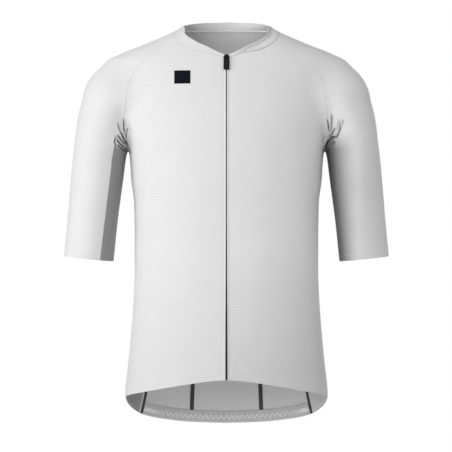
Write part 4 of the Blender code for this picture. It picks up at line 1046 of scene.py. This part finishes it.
def addSurroundings():
    world = bpy.data.worlds.new("studio")
    bpy.context.scene.world = world
    world.use_nodes = True
    tree = world.node_tree
    tree.nodes.clear()
    soft, seen = (addNode(tree, "Background", {"Color": (1, 1, 1, 1), "Strength": strength})[0]
                  for strength in (stageLook["ambient"], 1.0))
    toCamera = addNode(tree, "LightPath")["Is Camera Ray"]
    addNode(tree, "OutputWorld", {0: addNode(tree, "MixShader", {0: toCamera, 1: soft, 2: seen})[0]})
    bpy.ops.mesh.primitive_cylinder_add(vertices=96, radius=stageLook["floorRadius"],
                                        depth=stageLook["floorDepth"],
                                        location=(0, 0, stageLook["floorHeight"]))
    floor = bpy.context.object
    floor.name = "floor"
    material, tree, shader, vector = startMaterial("paleFloor", Roughness=0.9)
    mottle = noiseNode(tree, vector, stageLook["mottle"])
    tree.links.new(twoTone(tree, mottle, stageLook["dark"], stageLook["light"]), shader["Base Color"])
    floor.data.materials.append(material)


addLamps()
addSurroundings()
print("camera, lamps and floor ready")

# The cloth panels. flat and area are each one's whole cut, in metres
seams = {side: seamLines(side) for side in (-1, 1)}
for side, word in sideNames.items():
    clothPanel("frontPanel_" + word, frontGrid(side, seams[side]), ("top", "right"), ("bottom",), bodyKnit,
               "white_knit", "front_" + word, zipSide=True, flat=(0.235, 0.655), area=0.122,
               rests_on=["sleevePanel_" + word])
clothPanel("backPanel", backGrid(seams[-1], seams[1]), ("top", "left", "right"), ("bottom",), bodyKnit,
           "white_knit", "back", flat=(0.42, 0.75), area=0.235,
           rests_on=["sleevePanel_right", "sleevePanel_left"])
backPanel = panels["backPanel"]
backOuter = backPanel[0]
for side, word in sideNames.items():
    clothPanel("sleevePanel_" + word, sleeveGrid(side, seams[side]), ("top", "left", "right"), ("bottom",),
               sleeveKnit[side], "white_knit", "sleeve_" + word, flat=(0.40, 0.46), area=0.099,
               rests_on=["collarBand"])
    clothPanel("sidePanel_" + word, sideGrid(side, seams[side]), ("left", "right"), ("top", "bottom"),
               sideNet, "grey_mesh", "side_" + word, flat=(0.13, 0.74), area=0.062,
               rests_on=["sleevePanel_" + word, "backPanel"])


# Lines and layers that follow a panel
def onPanel(panel, rows, columns):
    return picked(panel[0], rows, columns), unit(picked(panel[1], rows, columns))


def lineFromEdge(panel, edge, distance):
    # the line on a panel that keeps one distance from one of its edges
    if edge in ("top", "bottom"):
        panel = [values.swapaxes(0, 1) for values in panel]
        edge = {"top": "left", "bottom": "right"}[edge]
    order = 1 if edge == "left" else -1
    places = np.arange(panel[0].shape[1], dtype=float)[::order]
    reach = reachFrom(panel[0], edge)
    wanted = np.array([np.interp(distance, along[::order], places) for along in reach])
    return onPanel(panel, np.arange(len(reach), dtype=float), wanted)


def rowAtHeight(grid, place, height):
    rows = np.arange(len(grid), dtype=float)
    return float(np.interp(-height, -picked(grid, rows, np.full(len(grid), float(place)))[:, 2], rows))


def columnOfAngle(grid, row, angle):
    places = np.arange(grid.shape[1], dtype=float)
    line = picked(grid, np.full(len(places), float(row)), places)
    return float(np.interp(angle, angleOf(line) % 360, places))


def evenly(points, normals, pitch, start=0.0, end=0.0):
    # places at one pitch along a line, with the line's direction and normal there
    places = lengthsAlong(points)
    length = places[-1] - start - end
    count = max(2, int(round(length / pitch)))
    wanted = start + length * (np.arange(count) + 0.5) / count

    def at(distances, values):
        return np.stack([np.interp(distances, places, values[:, axis]) for axis in range(3)], axis=1)

    facings = unit(at(wanted, normals))
    along = at(wanted + 0.5, points) - at(wanted - 0.5, points)
    along = unit(along - facings * (along * facings).sum(axis=1, keepdims=True))
    return at(wanted, points), along, facings


def joined(parts):
    # several (corners, faces) as one
    corners = []
    faces = []
    count = 0
    for points, pattern in parts:
        corners.append(points)
        faces += [[count + corner for corner in face] for face in pattern]
        count += len(points)
    return np.concatenate(corners), faces


grain = {"sides": 6, "tip": 0.5, "shoulder": 0.32, "tipRise": -0.25, "shoulderRise": 0.2, "roundness": 0.6}


def grains(spots, along, facings, length, width, height, lift=0.0):
    # small rounded grains: stitches, zip teeth
    across = np.cross(facings, along)
    sides = grain["sides"]
    tips = [spots + along * (sign * grain["tip"] * length) + facings * (lift + height * grain["tipRise"])
            for sign in (-1, 1)]
    ring = []
    for sign in (-1, 1):
        centre = spots + along * (sign * grain["shoulder"] * length)
        centre = centre + facings * (lift + height * grain["shoulderRise"])
        for turn in np.linspace(0, 2 * math.pi, sides, endpoint=False):
            ring.append(centre + across * (math.cos(turn) * width / 2)
                        + facings * (math.sin(turn) * height * grain["roundness"]))
    corners = np.stack([tips[0], *ring, tips[1]], axis=1)
    last = 2 * sides + 1
    faces = []
    for turn in range(sides):
        here, there = 1 + turn, 1 + (turn + 1) % sides
        faces += [(0, there, here), (last, here + sides, there + sides),
                  (here, there, there + sides, here + sides)]
    return [(corner, faces) for corner in corners]


def addGrains(name, rows, material, slot):
    # rows of (spots, along, facings, length, width, height, lift) in one mesh
    parts = [part for row in rows for part in grains(*row)]
    dress(addMesh(name, *joined(parts), material), slot)


stitch = {"pitch": 3.0, "length": 2.3, "width": 0.5, "height": 0.38, "lift": 0.02}


def stitchRow(points, normals, start=0.0, end=0.0):
    return (*evenly(points, normals, stitch["pitch"], start, end), stitch["length"], stitch["width"],
            stitch["height"], stitch["lift"])


def sweptBead(name, points, normals, width, height, material, slot, sides=7):
    # a rounded bead that runs along a line on the cloth
    along = unit(np.gradient(points, axis=0))
    facings = unit(normals - along * (normals * along).sum(axis=1, keepdims=True))
    across = np.cross(facings, along)
    rings = [points + across * (math.cos(turn) * width / 2) + facings * (math.sin(turn) * height)
             for turn in np.linspace(0, 2 * math.pi, sides, endpoint=False)]
    place = np.arange(len(points) * sides).reshape(-1, sides)
    following = np.roll(place, -1, axis=1)
    faces = np.stack([place[:-1], following[:-1], following[1:], place[1:]], axis=-1).reshape(-1, 4).tolist()
    faces += [place[0][::-1].tolist(), place[-1].tolist()]
    dress(addMesh(name, np.stack(rings, axis=1).reshape(-1, 3), faces, material), slot)


# Collar band
collar = {"stitchAbove": 1.6, "roll": 0.35, "rollWidth": 1.6, "seamBead": 2.0, "seamBeadHeight": 0.8,
          "beadAngle": 122, "beadSunk": 0.1, "shadeFrom": 12.0, "shadeRise": 22.0, "shadeFade": 12.0,
          "shadeTop": 1.2, "shadeReach": 7.0, "shade": 0.42, "seamShade": 0.6, "seamFold": 0.04,
          "foldWidth": 1.5, "paler": 1.15}
# the band's knit is painted paler than the rest of the knit: painted light on the band's inner face
collarKnitPaintedLight = knitMaterial("collarKnitPaintedLight", 0.0, collar["paler"])
zipAngle = math.degrees(math.asin(zipOpening[0].half / column(bodyRings, "front", neckline[0].seam)))
halfTurn = zipAngle + (180 - zipAngle) * np.linspace(0, 1, mesh["collarColumns"] // 2 + 1)
collarAngles = np.concatenate([halfTurn, 360 - halfTurn[-2::-1]])
down = np.linspace(0, 1, mesh["collarRows"] + 1)[:, None]
top, seam = (column(neckline, name, 180 - np.abs(180 - collarAngles)) for name in ("top", "seam"))
collarHeights = top * (1 - down) + seam * down
collarGrid = pullIn(onRing(np.broadcast_to(collarAngles, collarHeights.shape), collarHeights), ("bottom",))
collarNormals = outward(collarGrid)
fromTop = reachFrom(collarGrid, "top")
fromSeam = reachFrom(collarGrid, "bottom")
collarLift = seamRelief(fromSeam) - collar["roll"] * bell(fromTop, 0, collar["rollWidth"])
collarOuter = collarGrid + collarNormals * collarLift[..., None]
collarPiece = shellMesh("collarBand", collarOuter, collarNormals, clothWall, collarKnitPaintedLight)
# painted shade on the collar's outer face near its top edge on the wearer's left; the outer face is also
# brought back from the paler knit
leftShare = ramp(collarOuter[..., 0], collar["shadeFrom"], collar["shadeFrom"] + collar["shadeRise"])
leftShare = leftShare * ramp(-collarOuter[..., 1], 0, collar["shadeFade"])
shadeStart = 2 * collar["shadeTop"]
bandShade = ramp(fromTop, collar["shadeTop"], shadeStart)
bandShade = bandShade * ramp(fromTop, shadeStart + collar["shadeReach"], shadeStart)
outerShade = 1 - (1 - collar["shade"] * leftShare * bandShade) / collar["paler"]
markPoints(collarPiece, "shade", outerShade, 0 * fromTop)
# painted shade along the neck seam, stronger on the wearer's left
seamPaintedShade = bell(fromSeam, 0, collar["foldWidth"]) * (collar["seamFold"] + collar["seamShade"] * leftShare)
markPoints(collarPiece, "fold", seamPaintedShade, 0 * fromTop)
dress(collarPiece, "white_knit", "collar", held="hung", rests_on=["backPanel"], flat=(0.51, 0.026),
      area=0.0096)

# the neck seam shows inside as a pale overlocked line
inside = np.abs(180 - collarAngles) < collar["beadAngle"]
seamLine = (collarOuter - collarNormals * (clothWall + collar["beadSunk"]))[-2, inside]
sweptBead("neckSeam", seamLine, -collarNormals[-2, inside], collar["seamBead"], collar["seamBeadHeight"],
          overlockThread, "white_knit")
print("collar ready")

# Zip: tape, and coil with its teeth
zipLook = {"tapeHalfWidth": 12.0, "tapeDepth": 1.25, "tapeWall": 0.7, "coilHalfWidth": 1.5, "coilDepth": 0.55,
           "coilWall": 0.65, "toothPitch": 1.5, "toothLength": 1.7, "toothWidth": 0.95, "toothHeight": 0.42,
           "toothOut": 0.55, "teethFromEnd": 1.0, "endInset": 0.8, "rows": 220, "tapeColumns": 13,
           "coilColumns": 5}
zipHeights = np.linspace(neckline[0].top - zipLook["endInset"], hemline[0].height + zipLook["endInset"],
                         zipLook["rows"])


def zipStrip(word, name, material):
    # a strip behind the front edges, and the middle line of its outer face
    halfWidth, depth, wall, columns = (zipLook[word + part]
                                       for part in ("HalfWidth", "Depth", "Wall", "Columns"))
    radius = column(bodyRings, "front", zipHeights)[:, None]
    angles = np.degrees(np.arcsin(np.linspace(halfWidth, -halfWidth, columns)[None] / radius))
    grid = onRing(angles, np.broadcast_to(zipHeights[:, None], angles.shape))
    normals = outward(grid)
    outer = grid - normals * depth
    middle = columns // 2
    return shellMesh(name, outer, normals, wall, material), outer[:, middle], normals[:, middle]


tape = zipStrip("tape", "zipTape", zipWeave)[0]
dress(tape, "zip_tape_weave", "zip_tape", flat=(0.024, 0.571), held="hung",
      rests_on=["frontPanel_right", "frontPanel_left"])
coil, coilLine, coilFacings = zipStrip("coil", "zipCoil", coilPlastic)
dress(coil, "zip_coil_plastic", "zip_coil")
spots, along, facings = evenly(coilLine, coilFacings, zipLook["toothPitch"], zipLook["teethFromEnd"],
                               zipLook["teethFromEnd"])
across = np.cross(facings, along)
shift = across * zipLook["toothOut"] + along * (zipLook["toothPitch"] / 4)
toothSize = (zipLook["toothLength"], zipLook["toothWidth"], zipLook["toothHeight"])
toothRows = [(spots + shift * sign, across, facings, *toothSize) for sign in (-1, 1)]
addGrains("zipTeeth", toothRows, coilPlastic, "zip_coil_plastic")
print("zip ready")


# Small hard pieces: rounded plates with or without a hole
def roundedLoop(halfWidth, upper, lower, corner, steps, taper=1.0):
    loop = []
    for acrossSign, upSign, first in ((1, 1, 90), (1, -1, 0), (-1, -1, 270), (-1, 1, 180)):
        width = halfWidth * (taper if upSign < 0 else 1.0)
        centre = (acrossSign * (width - corner), (upper - corner) if upSign > 0 else (lower + corner))
        for step in range(steps + 1):
            turn = math.radians(first - 90 * step / steps)
            loop.append((centre[0] + corner * math.cos(turn), centre[1] + corner * math.sin(turn)))
    return np.array(loop)


def offsetLoop(loop, distance):
    # the loop moved outward in its own plane; it runs clockwise
    along = unit(np.roll(loop, -1, axis=0) - np.roll(loop, 1, axis=0))
    return loop + np.stack([-along[:, 1], along[:, 0]], axis=1) * distance


def roundEdge(loop, out, halfDepth, radius, steps, inward):
    # loops that take an edge round from its wall to its flat face
    turns = np.linspace(0, math.pi / 2, steps + 1)
    return [(offsetLoop(loop, radius * (1 - math.cos(turn)) * (-1 if inward else 1)),
             out * (halfDepth - radius + radius * math.sin(turn))) for turn in turns]


def plateFrom(levels, closed):
    # faces between loops of points; each level is (loop, depth)
    corners = np.concatenate([np.column_stack([loop, np.full(len(loop), depth)]) for loop, depth in levels])
    place = np.arange(len(corners)).reshape(len(levels), -1)
    above = np.roll(place, -1, axis=0)
    if not closed:
        place, above = place[:-1], above[:-1]
    faces = np.stack([place, np.roll(place, -1, axis=1), np.roll(above, -1, axis=1), above], axis=-1)
    faces = faces.reshape(-1, 4).tolist()
    if not closed:
        faces += [place[0][::-1].tolist(), above[-1].tolist()]
    return corners, faces


sliderHeight = -49.5
zipSpot = onRing(np.array(0.0), np.array(sliderHeight))
zipNormal = outward(zipSpot[None])[0]
zipTilt = -math.atan2(zipNormal[2], -zipNormal[1])


def fromZipFrame(points):
    # the zip's own frame: across, out of the cloth towards -Y, and up along the zip
    x, y, z = np.array(points, float).T
    cos, sin = math.cos(zipTilt), math.sin(zipTilt)
    return np.column_stack([x, y * cos - z * sin, y * sin + z * cos]) + zipSpot


def addPlate(name, parts, material, body, slot, node):
    # parts are (corners, faces) in the zip's frame
    corners, faces = joined(parts)
    piece = addMesh(name, fromZipFrame(corners), faces, material, body)
    piece.data.set_sharp_from_angle(angle=mesh["plateSharpAngle"])
    dress(piece, slot, node)


def facingFront(levels, closed, outAt):
    # plate drawn in (across, up, depth) laid flat on the zip, its front at +depth
    corners, faces = plateFrom(levels, closed)
    return np.column_stack([corners[:, 0], -(outAt + corners[:, 2]), corners[:, 1]]), faces


def facingSide(levels):
    # ring drawn in (out, up, depth) standing on edge, its depth across the zip
    corners, faces = plateFrom(levels, True)
    return np.column_stack([corners[:, 2], -corners[:, 0], corners[:, 1]]), faces


def flipped(levels):
    return [(loop, -depth) for loop, depth in levels[::-1]]


def bridgeLoop(inset, corner, inner):
    # the bridge seen from the side: a loop stretched out to the front
    loop = roundedLoop(1.0, slider["bridgeTop"] - inset, slider["bridgeBottom"] + inset, corner, 5)
    reach = slider["bridgeOut"] - inset - 1.0
    loop[:, 0] = np.where(loop[:, 0] > 0, loop[:, 0] + reach, slider["out"] + inner)
    return loop


slider = {"halfWidth": 3.8, "top": 4.5, "bottom": -4.5, "taper": 0.8, "out": 1.2, "halfDepth": 0.8,
          "corner": 1.3, "round": 0.45, "bridgeHalfWidth": 1.1, "bridgeOut": 5.15, "bridgeTop": 2.75,
          "bridgeBottom": -2.15, "bridgeRound": 0.25, "bar": 0.9, "crownSunk": 0.2, "crownSide": 1.2,
          "crownEnd": 1.1, "crownCorner": 0.9, "crownHalf": 0.35, "crownRound": 0.3, "bridgeCorner": 0.9,
          "eyeCorner": 0.5, "eyeIn": 0.2}
cornerSteps, roundSteps, fineSteps = 6, 4, 3
plate = roundedLoop(slider["halfWidth"], slider["top"], slider["bottom"], slider["corner"], cornerSteps,
                    slider["taper"])
levels = roundEdge(plate, 1, slider["halfDepth"], slider["round"], roundSteps, True)
parts = [facingFront(flipped(levels) + levels, False, slider["out"])]
crown = roundedLoop(slider["halfWidth"] - slider["crownSide"], slider["top"] - slider["crownEnd"],
                    slider["bottom"] + slider["crownEnd"], slider["crownCorner"], cornerSteps,
                    slider["taper"])
levels = [(crown, -slider["crownHalf"])]
levels += roundEdge(crown, 1, slider["crownHalf"], slider["crownRound"], fineSteps, True)
parts.append(facingFront(levels, False, slider["out"] + slider["halfDepth"] - slider["crownSunk"]))
outerLoop = bridgeLoop(0.0, slider["bridgeCorner"], 0.0)
innerLoop = bridgeLoop(slider["bar"], slider["eyeCorner"], slider["eyeIn"])
bridgeEdge = (1, slider["bridgeHalfWidth"], slider["bridgeRound"], fineSteps)
levels = roundEdge(outerLoop, *bridgeEdge, True) + roundEdge(innerLoop, *bridgeEdge, False)[::-1]
parts.append(facingSide(levels + flipped(levels)))
addPlate("zipSlider", parts, sliderPaint, "jersey", "slider_black", "zip_slider")

pull = {"halfWidth": 5.2, "top": 0.65, "bottom": -25.35, "out": 3.15, "halfDepth": 0.65, "corner": 1.2,
        "round": 0.4, "eyeHalfWidth": 1.8, "eyeTop": -0.65, "eyeBottom": -5.25, "eyeCorner": 0.5,
        "eyeRound": 0.3, "lipOut": 0.55, "lipIn": 0.3, "lipDrop": 0.1, "eyeDrop": 0.35, "rim": 1.0,
        "rimSlope": 0.25, "recess": 0.22, "ribs": (-10.4, -13.6, -16.8, -20.0), "ribLength": 5.2,
        "ribWidth": 1.2, "ribCorner": 0.5, "ribRound": 0.3, "ribFoot": 0.2, "ribRise": 0.02}
half = pull["halfDepth"]
tab = roundedLoop(pull["halfWidth"], pull["top"], pull["bottom"], pull["corner"], cornerSteps)
eye = roundedLoop(pull["eyeHalfWidth"], pull["eyeTop"], pull["eyeBottom"], pull["eyeCorner"], cornerSteps)
levels = roundEdge(tab, 1, half, pull["round"], roundSteps, True)
levels += [(offsetLoop(tab, -pull["rim"]), half),
           (offsetLoop(tab, -pull["rim"] - pull["rimSlope"]), half - pull["recess"]),
           (offsetLoop(eye, pull["lipOut"]), half - pull["recess"]),
           (offsetLoop(eye, pull["lipIn"]), half - pull["lipDrop"]), (eye, half - pull["eyeDrop"])]
levels += roundEdge(eye, -1, half, pull["eyeRound"], fineSteps, False)
levels += roundEdge(tab, -1, half, pull["round"], roundSteps, True)[::-1]
parts = [facingFront(levels, True, pull["out"])]
for height in pull["ribs"]:
    rib = roundedLoop(pull["ribLength"] / 2, height + pull["ribWidth"] / 2, height - pull["ribWidth"] / 2,
                      pull["ribCorner"], roundSteps)
    levels = [(rib, pull["ribFoot"])]
    levels += roundEdge(rib, 1, half + pull["ribRise"], pull["ribRound"], fineSteps, True)
    parts.append(facingFront(levels, False, pull["out"]))
addPlate("zipPull", parts, pullRubber, "pull", "pull_rubber", "zip_pull")
print("slider and pull ready")

# Chest label, bare
label = {"left": -91.5, "width": 28.3, "top": -73.3, "height": 23.7, "wall": 0.5, "lift": 0.45, "round": 0.35,
         "roundWidth": 0.6, "border": 0.12, "borderAt": 1.9, "borderWidth": 0.4, "columns": 36, "rows": 30}
labelOuts = label["left"] + label["width"] * np.linspace(0, 1, label["columns"] + 1)
labelHeights = label["top"] - label["height"] * np.linspace(0, 1, label["rows"] + 1)
labelGrid = onFace(*np.meshgrid(-labelOuts, labelHeights), -1, -1)
labelNormals = outward(labelGrid)
nearest = np.minimum.reduce([reachFrom(labelGrid, edge) for edge in ("top", "bottom", "left", "right")])
labelLift = label["lift"] + label["wall"] - label["round"] * bell(nearest, 0, label["roundWidth"])
labelLift -= label["border"] * bell(nearest, label["borderAt"], label["borderWidth"])
labelOuter = labelGrid + labelNormals * (labelLift + swayRelief(labelGrid))[..., None]
dress(shellMesh("chestLabel", labelOuter, labelNormals, label["wall"], labelFilm), "label_film",
      "chest_label", flat=(0.0287, 0.0237), held="laid", rests_on=["frontPanel_right"])

# Back pockets: one layer with two stitched divisions
pocket = {"top": -478.0, "dip": 8.0, "inset": 2.5, "angleTop": 151.8, "angleHem": 150.0, "bulge": 3.2,
          "bulgeHem": 0.5, "rows": 72, "hemShare": 0.5, "gap": 0.35, "band": 11.0, "bandDip": 0.2,
          "bandWidth": 0.8, "foldDegrees": 0.478, "fold": 0.3, "insetRow": -40, "roundPower": 0.75,
          "fadePower": 0.7}
backColumns = backOuter.shape[1] - 1
places = np.arange(backColumns + 1.0)
pocketHeights = pocket["top"] - pocket["dip"] * (1 - (places / backColumns * 2 - 1) ** 2)
pocketTops = np.array([rowAtHeight(backOuter, *spot) for spot in zip(places, pocketHeights)])
shares = np.linspace(0, 1, pocket["rows"] + 1)[:, None]
pocketRows = pocketTops * (1 - shares) + (len(backOuter) - 1 - pocket["hemShare"]) * shares
inset = pocket["inset"] / stepsAlong(backOuter[pocket["insetRow"], :2])[0]
pocketColumns = np.broadcast_to(inset + (backColumns - 2 * inset) * places / backColumns, pocketRows.shape)
pocketGrid, pocketNormals = onPanel(backPanel, pocketRows, pocketColumns)
angles = 180 - np.abs(180 - angleOf(pocketGrid) % 360)
division = pocket["angleTop"] + (pocket["angleHem"] - pocket["angleTop"]) * shares
sideShare = np.clip((angles - angles[:, :1]) / (division - angles[:, :1]), 0, 1)
middleShare = np.clip((angles - division) / (180 - division), 0, 1)
bulge = np.where(angles < division, 4 * sideShare * (1 - sideShare), 1 - (1 - middleShare) ** 2)
fullness = pocket["bulge"] * (1 - shares) ** pocket["fadePower"] + pocket["bulgeHem"]
bulge = np.clip(bulge, 0, 1) ** pocket["roundPower"] * fullness
band = bell(reachFrom(pocketGrid, "top"), pocket["band"], pocket["bandWidth"])
pocketLift = clothWall + pocket["gap"] + bulge - pocket["bandDip"] * band
pocketOuter = pocketGrid + pocketNormals * pocketLift[..., None]
pocketPiece = shellMesh("pocketLayer", pocketOuter, pocketNormals, clothWall, bodyKnit)
# painted shade along the two stitched divisions
divisionPaintedShade = bell(angles, division, pocket["foldDegrees"])
markPoints(pocketPiece, "fold", pocket["fold"] * divisionPaintedShade, 0 * divisionPaintedShade)
dress(pocketPiece, "white_knit", "pockets", held="stretched", rests_on=["backPanel"], flat=(0.345, 0.24),
      area=0.065)
print("pockets ready")

# Tapes inside, and the grip band inside the back hem
tapeLook = {"pocketWidth": 7.2, "pocketDepth": 0.25, "pocketTop": -484.0, "pocketGap": 1.0, "pocketRows": 60,
            "pocketColumns": 9, "sideWidth": 5.0, "sideTop": -219.0, "sideDepth": 1.65, "sideColumns": 7,
            "sideRounds": 3, "stepsIn": 4, "shortEnd": 0.4, "wall": 0.7}
bandLook = {"height": 20.0, "rise": 1.5, "gap": 0.6, "lift": 0.15, "wall": 0.8, "rows": 10, "columns": 200}


def hemHeight(place):
    return float(picked(backOuter, np.array([len(backOuter) - 1.0]), np.array([place]))[0, 2])


def addTape(name, grid, facings, depth, node):
    dress(shellMesh(name, grid - facings * depth, facings, tapeLook["wall"], seamTape), "dark_tape", node)


guide = columnOfAngle(backOuter, len(backOuter) - 1, pocket["angleHem"])
bandTop = hemHeight(guide) + bandLook["rise"] + bandLook["height"] + tapeLook["pocketGap"]
firstRow, lastRow = (rowAtHeight(backOuter, guide, height) for height in (tapeLook["pocketTop"], bandTop))
tapeRows = np.linspace(firstRow, lastRow, tapeLook["pocketRows"])
tapeShares = (tapeRows - firstRow) / (lastRow - firstRow)
tapeAngles = pocket["angleTop"] * (1 - tapeShares) + pocket["angleHem"] * tapeShares
centres = np.array([columnOfAngle(backOuter, *spot) for spot in zip(tapeRows, tapeAngles)])
stepWide = picked(backOuter, tapeRows, centres + 1) - picked(backOuter, tapeRows, centres)
halves = tapeLook["pocketWidth"] / 2 / np.linalg.norm(stepWide, axis=1)
columns = centres[:, None] + halves[:, None] * np.linspace(-1, 1, tapeLook["pocketColumns"])
rows = np.broadcast_to(tapeRows[:, None], columns.shape)
for word, spread in (("left", columns), ("right", backColumns - columns)):
    addTape("pocketTape_" + word, *onPanel(backPanel, rows, spread), clothWall + tapeLook["pocketDepth"],
            "pocket_tape_" + word)

for side, word in sideNames.items():
    backSide = seams[side]["backSide"]
    stepsIn = tapeLook["stepsIn"]
    backEdge = backOuter[mesh["raglanRows"]:, stepsIn if side > 0 else -1 - stepsIn]
    across = unit(backEdge - panels["sidePanel_" + word][0][mesh["armRows"]:, -1 - stepsIn])
    first = int(np.argmin(np.abs(backSide[:, 2] - tapeLook["sideTop"])))
    shifts = np.linspace(-tapeLook["sideWidth"] / 2, tapeLook["sideWidth"] / 2, tapeLook["sideColumns"])
    grid = backSide[first:, None] + across[first:, None] * shifts[:, None]
    grid = settle(grid, tapeLook["sideRounds"])
    grid[-1] = grid[-1] + (grid[-2] - grid[-1]) * tapeLook["shortEnd"]
    addTape("sideTape_" + word, grid, outward(grid), tapeLook["sideDepth"], "side_tape_" + word)

bandInset = (tapeLook["sideWidth"] / 2 + bandLook["gap"]) / stepsAlong(backOuter[-1, :2])[0]
bandPlaces = np.linspace(bandInset, backColumns - bandInset, bandLook["columns"] + 1)
rises = np.linspace(bandLook["rise"] + bandLook["height"], bandLook["rise"], bandLook["rows"] + 1)
bandRows = np.array([[rowAtHeight(backOuter, place, hemHeight(place) + rise) for place in bandPlaces]
                     for rise in rises])
bandGrid, bandNormals = onPanel(backPanel, bandRows, np.broadcast_to(bandPlaces, bandRows.shape))
bandOuter = bandGrid - bandNormals * (clothWall + facing["hemDepth"] + bandLook["lift"])
dress(shellMesh("hemGripper", bandOuter, bandNormals, bandLook["wall"], hemElastic), "elastic_band",
      "hem_gripper", flat=(0.33, 0.02), held="stretched", rests_on=["backPanel"])

# a plain zigzag of grip rubber on the band
zigzag = {"pitch": 6.3, "low": 0.32, "high": 0.74, "width": 1.9, "height": 0.45, "lift": 0.05, "ends": 0.02,
          "stepsPerTurn": 8}
bandInner = bandOuter - bandNormals * bandLook["wall"]
turns = int(stepsAlong(bandInner[bandLook["rows"] // 2]).sum() / zigzag["pitch"])
steps = np.linspace(zigzag["ends"], 1 - zigzag["ends"], turns * zigzag["stepsPerTurn"] + 1)
wave = np.abs((np.arange(len(steps)) / zigzag["stepsPerTurn"]) % 1 * 2 - 1)
wave = zigzag["low"] + (zigzag["high"] - zigzag["low"]) * wave
grip, gripNormals = onPanel((bandInner, -bandNormals), wave * bandLook["rows"], steps * bandLook["columns"])
sweptBead("gripLine", grip + gripNormals * zigzag["lift"], gripNormals, zigzag["width"], zigzag["height"],
          silicone, "elastic_band")
print("tapes and hem band ready")

# Stitching: each row keeps one distance from an edge, and stops short of its two ends
sewn = {"body": 2.4, "sleeve": 2.2, "pocketTwin": 2.4, "divisionHalf": 1.1}
ends = {"zip": (2.0, 2.0), "frontHem": (6.0, 2.0), "sleeveHem": (1.5, 1.5), "seam": (3.0, 3.0),
        "turnedIn": (3.0, 1.0), "backHem": (4.0, 4.0), "pocket": (2.0, 2.0), "division": (0.5, 9.0)}
whiteRows = []
greyRows = []
for side, word in sideNames.items():
    front, sleeve = (panels[name + word] for name in ("frontPanel_", "sleevePanel_"))
    whiteRows.append(stitchRow(*lineFromEdge(front, "left", zipEdge["grooveAt"]), *ends["zip"]))
    whiteRows.append(stitchRow(*lineFromEdge(front, "bottom", hemEdge["grooveAt"]), *ends["frontHem"]))
    whiteRows.append(stitchRow(*lineFromEdge(sleeve, "bottom", hemEdge["grooveAt"]), *ends["sleeveHem"]))
    whiteRows.append(stitchRow(*lineFromEdge(front, "right", sewn["body"]), *ends["seam"]))
    for edge in ("left", "right"):
        points, normals = lineFromEdge(sleeve, edge, sewn["sleeve"])
        turn = mesh["raglanRows"]
        if side > 0 and edge == "left":  # grey thread on the turned-in seam under the arm
            whiteRows.append(stitchRow(points[:turn], normals[:turn], *ends["turnedIn"]))
            greyRows.append(stitchRow(points[turn:], normals[turn:], *ends["turnedIn"][::-1]))
        else:
            whiteRows.append(stitchRow(points, normals, *ends["seam"]))
pocketPanel = (pocketOuter, pocketNormals)
for panel, edge, distance, end in (
        (backPanel, "left", sewn["body"], "seam"), (backPanel, "right", sewn["body"], "seam"),
        (backPanel, "bottom", hemEdge["grooveAt"], "backHem"),
        ((collarOuter, collarNormals), "bottom", collar["stitchAbove"], "zip"),
        (pocketPanel, "top", pocket["band"], "pocket"),
        (pocketPanel, "top", pocket["band"] - sewn["pocketTwin"], "pocket")):
    whiteRows.append(stitchRow(*lineFromEdge(panel, edge, distance), *ends[end]))
rows = np.arange(pocket["rows"] + 1.0)
middle = backColumns // 2
pocketSteps = np.linalg.norm(pocketOuter[:, middle + 1] - pocketOuter[:, middle], axis=1)
for sign in (-1, 1):
    centres = np.array([np.interp(180 + sign * (180 - angle), angleOf(line) % 360, places)
                        for angle, line in zip(division[:, 0], pocketOuter)])
    for shift in (-sewn["divisionHalf"], sewn["divisionHalf"]):
        whiteRows.append(stitchRow(*onPanel(pocketPanel, rows, centres + shift / pocketSteps),
                                   *ends["division"]))
addGrains("stitching", whiteRows, whiteThread, "white_knit")
for word in sideNames.values():
    for edge in ("top", "bottom"):
        line = lineFromEdge(panels["sidePanel_" + word], edge, hemEdge["grooveAt"])
        greyRows.append(stitchRow(*line, *ends["sleeveHem"]))
addGrains("sideStitching", greyRows, greyThread, "grey_mesh")
print("stitching ready")
